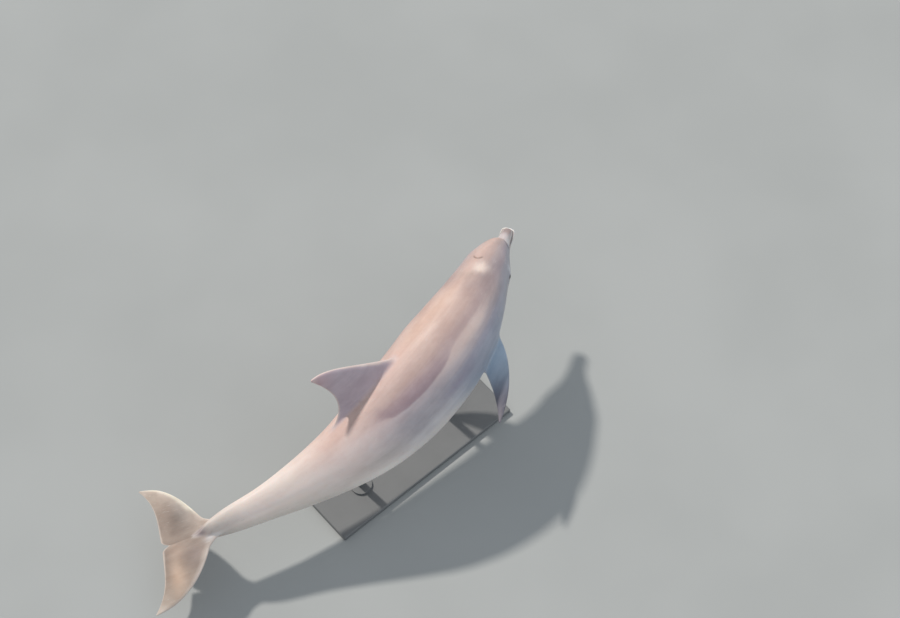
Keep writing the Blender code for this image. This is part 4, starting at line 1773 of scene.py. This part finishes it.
    # Painted shade: the blowhole's crescent and slit, then the mouth line, the crease and round
    # the lids.
    vent: tuple = (0.22, 0.145, 0.11)
    vent_by: float = 0.50
    slit: tuple = (6.0, 0.45)
    painted_shade: tuple = (("groove", 0.72), ("crease", 0.62), ("lid", 0.80))
    blotches: tuple = (0.60, (0.30, 0.38), (0.70, 0.63))
    streaks: tuple = (0.32, (0.34, 0.40), (0.66, 0.60))
    scratch_at: tuple = ((0.655, 0.70), (0.54, 0.64))
    scratch_by: float = 0.22
    freckle_at: tuple = (0.66, 0.74)
    freckle_by: float = 0.08
    roughness: float = 0.37
    moist_by: float = 0.20
    relief: tuple = ((0.0025, 0.35), (0.0006, 0.30))
    gloss: float = 0.35
    depth: float = 0.08
    depths: tuple = (0.012, 0.006, 0.004)
    waver: Grain = Grain((2.0, 4.5, 4.5), 1.6, 4.0, 0.55)
    cloud: Grain = Grain((7.0, 7.0, 7.0), 1.0, 5.0, 0.6, 0.4)
    shade: Grain = Grain((5.0, 5.0, 5.0), 1.0, 2.0, 0.5, 0.3)
    mottle: Grain = Grain((5.0, 8.0, 8.0), 1.5, 6.0, 0.62)
    streak: Grain = Grain((1.5, 30.0, 30.0), 1.0, 4.0, 0.55, 0.5)
    scratch: Grain = Grain((9.0, 150.0, 120.0), 1.0, 1.0, 0.5, 1.4)
    scratched: Grain = Grain((5.0, 5.0, 5.0), 1.0, 2.0)
    freckle: Grain = Grain((75.0, 75.0, 75.0), 1.0, 2.0)
    moisture: Grain = Grain((9.0, 9.0, 9.0))
    folds: Grain = Grain((14.0, 30.0, 30.0), 1.0, 4.0, 0.6)
    pores: Grain = Grain((150.0, 190.0, 190.0))

    def ground(self, n: Nodes, place: Socket, station: Socket) -> Socket:
        """Colour of the body by height and station, with a wavering edge between bands.

        Args:
            n: the material's nodes.
            place: straight place of the point.
            station: station of the point.
        Returns:
            The colour.
        """
        waver = n.noise(place, self.waver)
        height = n.math("MULTIPLY_ADD", n.value("around"), 0.5, 0.5)
        height, drift = (n.sway(waver, self.waver_by, value) for value in (height, station))
        colour = n.ramp(height, self.head)
        for stops, band in zip((self.shoulder, self.middle, self.rear, self.tail), self.bands):
            colour = n.mix(n.between(drift, *band), colour, n.ramp(height, stops))
        over = n.less(height, n.ramp(station, self.cape_line))
        band = n.times(n.between(over, *self.cape_edge),
                       n.rest(n.between(over, *self.cape_fade)))
        colour = n.mix(n.times(band, n.ramp(station, self.cape_strength)), colour, self.cape)
        colour = n.mix(n.times(n.between(station, *self.stock_end_at), self.stock_end_by),
                       colour, self.stock_end)
        beak = n.mix(n.between(station, *self.beak_tip_at), self.beak_tip, self.beak)
        beak = n.mix(n.between(height, *self.beak_side_at), self.beak_side, beak)
        colour = n.mix(n.rest(n.between(station, *self.beak_at)), colour, beak)
        across = n.share(place, "Y")
        for spot in SPOTS:
            colour = n.mix(spot.amount(n, drift, height, across), colour, spot.colour)
        return colour

    def fins(self, n: Nodes, place: Socket, colour: Socket) -> Socket:
        """The fins' own greys over the body's colour, darker clouds, paler rims, painted light
        and shade.

        Args:
            n: the material's nodes.
            place: straight place of the point.
            colour: the body's colour.
        Returns:
            The colour with the fins.
        """
        fluke, span, chord = (n.value(name) for name in ("fluke", "span", "chord"))
        blade = n.ramp(n.noise(place, self.shade),
                       tuple(zip(self.fluke_clouds, (self.fluke_dark, self.fluke))))
        blade = n.mix(n.between(span, *self.fluke_end_at), blade, self.fluke_end)
        aft, out = n.share(place, "X"), n.share(place, "Y")
        for spot in FLUKE_SPOTS:
            blade = n.mix(spot.amount(n, aft, out, out), blade, spot.colour)
        # Pale band along the front of the flukes: paler edge skin, partly a painted highlight.
        front = n.rest(n.between(chord, *self.front_at))
        # Painted light on the front of the left fluke, where the blade slopes away from the key
        # light.
        beyond, ahead = self.painted_light_at
        light = n.times(n.between(out, *beyond), n.rest(n.between(chord, *ahead)))
        pale = n.mix(light, self.fluke_edge, self.fluke_painted_light)
        blade = n.mix(n.times(n.most(front, light), self.front_by), blade, pale)
        sail = n.mix(n.between(span, *self.dorsal_end_at), self.dorsal, self.dorsal_end)
        paddle = n.mix(n.between(span, *self.flipper_end_at), self.flipper, self.flipper_end)
        for amount, own in ((n.value("dorsal"), sail), (n.value("flipper"), paddle),
                            (n.times(fluke, n.value("blade")), blade)):
            colour = n.mix(amount, colour, own)
        near = n.less(0.5, n.math("ABSOLUTE", n.less(chord, 0.5)))
        ragged = n.sway(n.noise(place, self.cloud), self.rim_ragged, near)
        rim = n.rest(n.between(ragged, *self.rim_at))
        # On the flukes the rim takes this pale colour, painted light included.
        edge = n.mix(fluke, self.fin_edge, pale)
        fin = n.most(n.value("dorsal"),
                     n.most(n.times(n.value("flipper"), self.flipper_rim), fluke))
        tip = n.times(n.between(span, *self.tip_at), self.tip_by)
        return n.mix(n.times(n.times(n.most(rim, tip), fin), self.rim_by), colour, edge)

    def marks(self, n: Nodes, place: Socket, colour: Socket) -> Socket:
        """Mottles, lengthwise streaks, fine pale scratches and freckles.

        Args:
            n: the material's nodes.
            place: straight place of the point.
            colour: the colour under them.
        Returns:
            The marked colour.
        """
        colour = n.mottle(colour, n.noise(place, self.mottle), *self.blotches)
        colour = n.mottle(colour, n.noise(place, self.streak), *self.streaks)
        line, where = self.scratch_at
        scratch = n.times(n.between(n.noise(place, self.scratch), *line),
                          n.between(n.noise(place, self.scratched), *where))
        colour = n.mix(n.times(scratch, self.scratch_by), colour, self.pale)
        freckle = n.between(n.noise(place, self.freckle), *self.freckle_at)
        return n.mix(n.times(freckle, self.freckle_by), colour, self.dark)

    def openings(self, n: Nodes, colour: Socket) -> Socket:
        """Pale lips, partly painted light, and painted shade in the mouth line, the blowhole, the
        crease and the lids.

        Args:
            n: the material's nodes.
            colour: the colour of the skin round them.
        Returns:
            The colour with them.
        """
        # Pale lips, partly painted light on the lower lip's shelf.
        colour = n.mix(n.value("lip"), colour, self.lip)
        # Painted shade in the blowhole's crescent, darkest in the slit.
        vent, (power, share) = n.value("vent"), self.slit
        colour = n.mix(n.times(vent, self.vent_by), colour, self.vent)
        colour = n.mix(n.times(n.math("POWER", vent, power), share), colour, self.dark)
        # Painted shade in the mouth line, the crease and round the lids.
        dark = 0.0
        for name, share in self.painted_shade:
            dark = n.most(dark, n.times(n.value(name), share))
        return n.mix(dark, colour, self.dark)

    def make(self) -> bpy.types.Material:
        """The material, with uneven moisture and a very fine relief.

        Returns:
            The new material.
        """
        n = Nodes("dolphin_hide")
        place = n.value("straight", "Vector")
        colour = self.fins(n, place, self.ground(n, place, n.share(place, "X")))
        colour = self.openings(n, self.marks(n, place, colour))
        wet = n.math("MULTIPLY_ADD", n.noise(place, self.moisture), self.moist_by,
                     self.roughness)
        normal = None
        for grain, (depth, strength) in zip((self.folds, self.pores), self.relief):
            normal = n.bump(n.noise(place, grain), depth, strength, normal)
        return n.finish(Base_Color=colour, Roughness=wet, Normal=normal,
                        Specular_IOR_Level=self.gloss, Subsurface_Weight=self.depth,
                        Subsurface_Radius=self.depths)


@dataclass(frozen=True)
class StandFinish:
    """Satin paint with a faint orange-peel."""
    colour: tuple = (0.17, 0.175, 0.18)
    clouds: tuple = (0.25, (0.3, 0.52), (0.7, 0.66))
    roughness: float = 0.36
    rougher: float = 0.12
    relief: tuple = (0.0002, 0.3)
    cloud: Grain = Grain((1.0, 1.0, 1.0), 6.0, 4.0)
    peel: Grain = Grain((1.0, 1.0, 1.0), 700.0, 2.0)

    def make(self) -> bpy.types.Material:
        """The paint of the base, feet and rods.

        Returns:
            The new material.
        """
        n = Nodes("stand_paint")
        place = n.add("TexCoord").outputs["Object"]
        cloud = n.noise(place, self.cloud)
        return n.finish(Base_Color=n.mottle(self.colour, cloud, *self.clouds),
                        Roughness=n.math("MULTIPLY_ADD", cloud, self.rougher, self.roughness),
                        Normal=n.bump(n.noise(place, self.peel), *self.relief))


# ---- eyes and studio ---------------------------------------------------------------------

@dataclass
class Eyeball:
    """One eye: a ball with a slightly raised cornea, seen through the almond opening."""
    side: Side
    radius: float = 13.6 * MM
    stands_out: float = 4.8 * MM
    cornea: float = 0.7 * MM
    cornea_reach: float = 0.5
    outward: tuple = (-0.10, 1.0, 0.02)
    rows: int = 40
    columns: int = 48

    def axes(self) -> tuple[Array, Array]:
        """Centre and outward direction on the straight body.

        Returns:
            A point and a unit vector.
        """
        sign = np.array([1.0, self.side.value, 1.0])
        spot = SHAPE.point(np.array([SOCKET.station]), np.array([SOCKET.turn(self.side)]))[0]
        deep = self.radius + self.cornea - self.stands_out
        out = np.array(self.outward) * sign
        return spot - sign * (0.0, deep, 0.0), out / np.linalg.norm(out)

    def build(self) -> bpy.types.Object:
        """A sphere about the outward axis, raised by a bell near its pole.

        Returns:
            The eyeball in the pose.
        """
        centre, out = self.axes()
        across = np.cross(out, (0.0, 0.0, 1.0))
        across /= np.linalg.norm(across)
        third = np.cross(out, across)
        turn = np.linspace(0, math.pi, self.rows)[:, None]
        around = np.linspace(0, 2 * math.pi, self.columns, endpoint=False)[None, :]
        reach = self.radius + self.cornea * bump(turn, self.cornea_reach)
        ball = (np.cos(turn) * reach)[..., None] * out + (np.sin(turn) * reach)[..., None] * (
            np.cos(around)[..., None] * across + np.sin(around)[..., None] * third)
        hide = Hide()
        index = hide.add(ball + centre, turn=turn)
        index[[0, -1]] = index[[0, -1], :1]
        hide.tube(index)
        made = hide.surface({"turn": hide.value("turn")}).make(
            "eyeball_" + self.side.name.lower())
        turn_outward(made.data)
        return made


@dataclass(frozen=True)
class EyeFinish:
    """Dark brown iris, black pupil and a thin pale edge, under a wet surface."""
    pupil: tuple = (0.004, 0.004, 0.004)
    iris: tuple = (0.055, 0.028, 0.014)
    white: tuple = (0.42, 0.30, 0.26)
    rings: tuple = (0.18, 0.26, 0.62, 0.78)
    whole: float = 1.2
    roughness: float = 0.06
    coat: float = 0.3

    def make(self) -> bpy.types.Material:
        """The material, by the angle from the pole of the ball over the whole that shows.

        Returns:
            The new material.
        """
        n = Nodes("dolphin_eye")
        turn = n.math("DIVIDE", n.value("turn"), self.whole)
        colour = n.ramp(turn, tuple(zip(self.rings, (self.pupil, self.iris, self.iris,
                                                     self.white))))
        return n.finish(Base_Color=colour, Roughness=self.roughness, Coat_Weight=self.coat)


@dataclass(frozen=True)
class Lamp:
    """One distant light: its strength, apparent size in degrees, colour and direction."""
    name: str
    energy: float
    angle: float
    colour: tuple
    way: tuple


@dataclass
class Studio:
    """Pale floor, soft light from the animal's upper left, and the camera.

    The camera's view is width_there wide at its distance, in metres. It looks past the
    spine's middle by the offset, to the right and up.
    """
    azimuth: float = -41.0
    elevation: float = 60.0
    distance: float = 11.0
    width_there: float = 4.366
    offset: tuple = (0.216, 0.442)
    sensor: float = 36.0
    floor_half: float = 30.0
    floor_cloud: Grain = Grain((1.0, 1.0, 1.0), 0.8)
    lamps: tuple = (Lamp("key", 2.5, 3.5, (1.0, 0.94, 0.86), (0.05, -0.656, -0.753)),
                    Lamp("fill", 0.35, 70.0, (0.86, 0.93, 1.0), (-0.5, 0.6, -0.6)))
    sky: tuple = (0.88, 0.94, 1.0, 1.0)
    sky_strength: float = 0.50

    def camera(self) -> None:
        """Place the camera on a sphere round a point beside the animal."""
        a, e = math.radians(self.azimuth), math.radians(self.elevation)
        back = np.array([math.sin(a) * math.cos(e), -math.cos(a) * math.cos(e), math.sin(e)])
        right = np.array([math.cos(a), math.sin(a), 0.0])
        up = np.cross(back, right)
        target = np.array(SPINE.middle) + self.offset[0] * right + self.offset[1] * up
        data = bpy.data.cameras.new("camera")
        data.sensor_width = self.sensor
        data.lens = self.sensor * self.distance / self.width_there
        data.clip_end = 100.0
        item = place_object("camera", data)
        axes = Matrix(np.stack([right, up, back], 1).tolist()).to_4x4()
        item.matrix_world = Matrix.Translation(Vector(target + back * self.distance)) @ axes
        bpy.context.scene.camera = item

    def floor(self) -> None:
        """One large plane with a faintly clouded pale finish."""
        half = self.floor_half
        corners = np.array([(-half, -half, 0), (half, -half, 0), (half, half, 0),
                            (-half, half, 0)], float)
        made = Surface(corners, [[0, 1, 2, 3]]).make("floor")
        n = Nodes("floor_paint")
        cloud = n.noise(n.add("TexCoord").outputs["Object"], self.floor_cloud)
        grey = n.ramp(cloud, ((0.3, (0.37, 0.385, 0.385)), (0.7, (0.40, 0.415, 0.415))))
        made.data.materials.append(n.finish(Base_Color=grey, Roughness=0.8))

    def lights(self) -> None:
        """A warm key from high on the port side, a cool fill and an even sky."""
        for lamp in self.lamps:
            data = bpy.data.lights.new(lamp.name, "SUN")
            data.energy, data.color = lamp.energy, lamp.colour
            data.angle = math.radians(lamp.angle)
            item = place_object(lamp.name, data)
            item.rotation_euler = Vector(lamp.way).to_track_quat("-Z", "Y").to_euler()
        world = bpy.data.worlds.new("studio")
        world.use_nodes = True
        sky = world.node_tree.nodes["Background"].inputs
        sky["Color"].default_value, sky["Strength"].default_value = self.sky, self.sky_strength
        bpy.context.scene.world = world
        bpy.context.scene.view_settings.view_transform = "Standard"


def main() -> None:
    """Build, dress and place every piece."""
    flesh = [item["node"] for item in frame["record"]["subparts"]
             if item["material_slot"] == "skin"]
    skin = Skin().build()
    skin.data.materials.append(SkinFinish().make())
    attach(skin, "root")
    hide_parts(*flesh)
    log.info("skin: %d faces", len(skin.data.polygons))
    eye_finish = EyeFinish().make()
    for side in Side:
        ball = Eyeball(side).build()
        ball.data.materials.append(eye_finish)
        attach(ball, "root")
        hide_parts("eye_" + side.name.lower())
        log.info("eyeball %s: %d faces", side.name.lower(), len(ball.data.polygons))
    paint = StandFinish().make()
    for item in frame["record"]["subparts"]:
        if item["material_slot"] == "stand":
            node = bpy.data.objects[item["node"]]
            node.data.materials.clear()
            node.data.materials.append(paint)
            log.info("%s: painted", item["node"])
    studio = Studio()
    studio.floor()
    studio.lights()
    studio.camera()


if __name__ == "__main__":
    logging.basicConfig(level=logging.INFO, format="%(name)s: %(message)s")
    main()
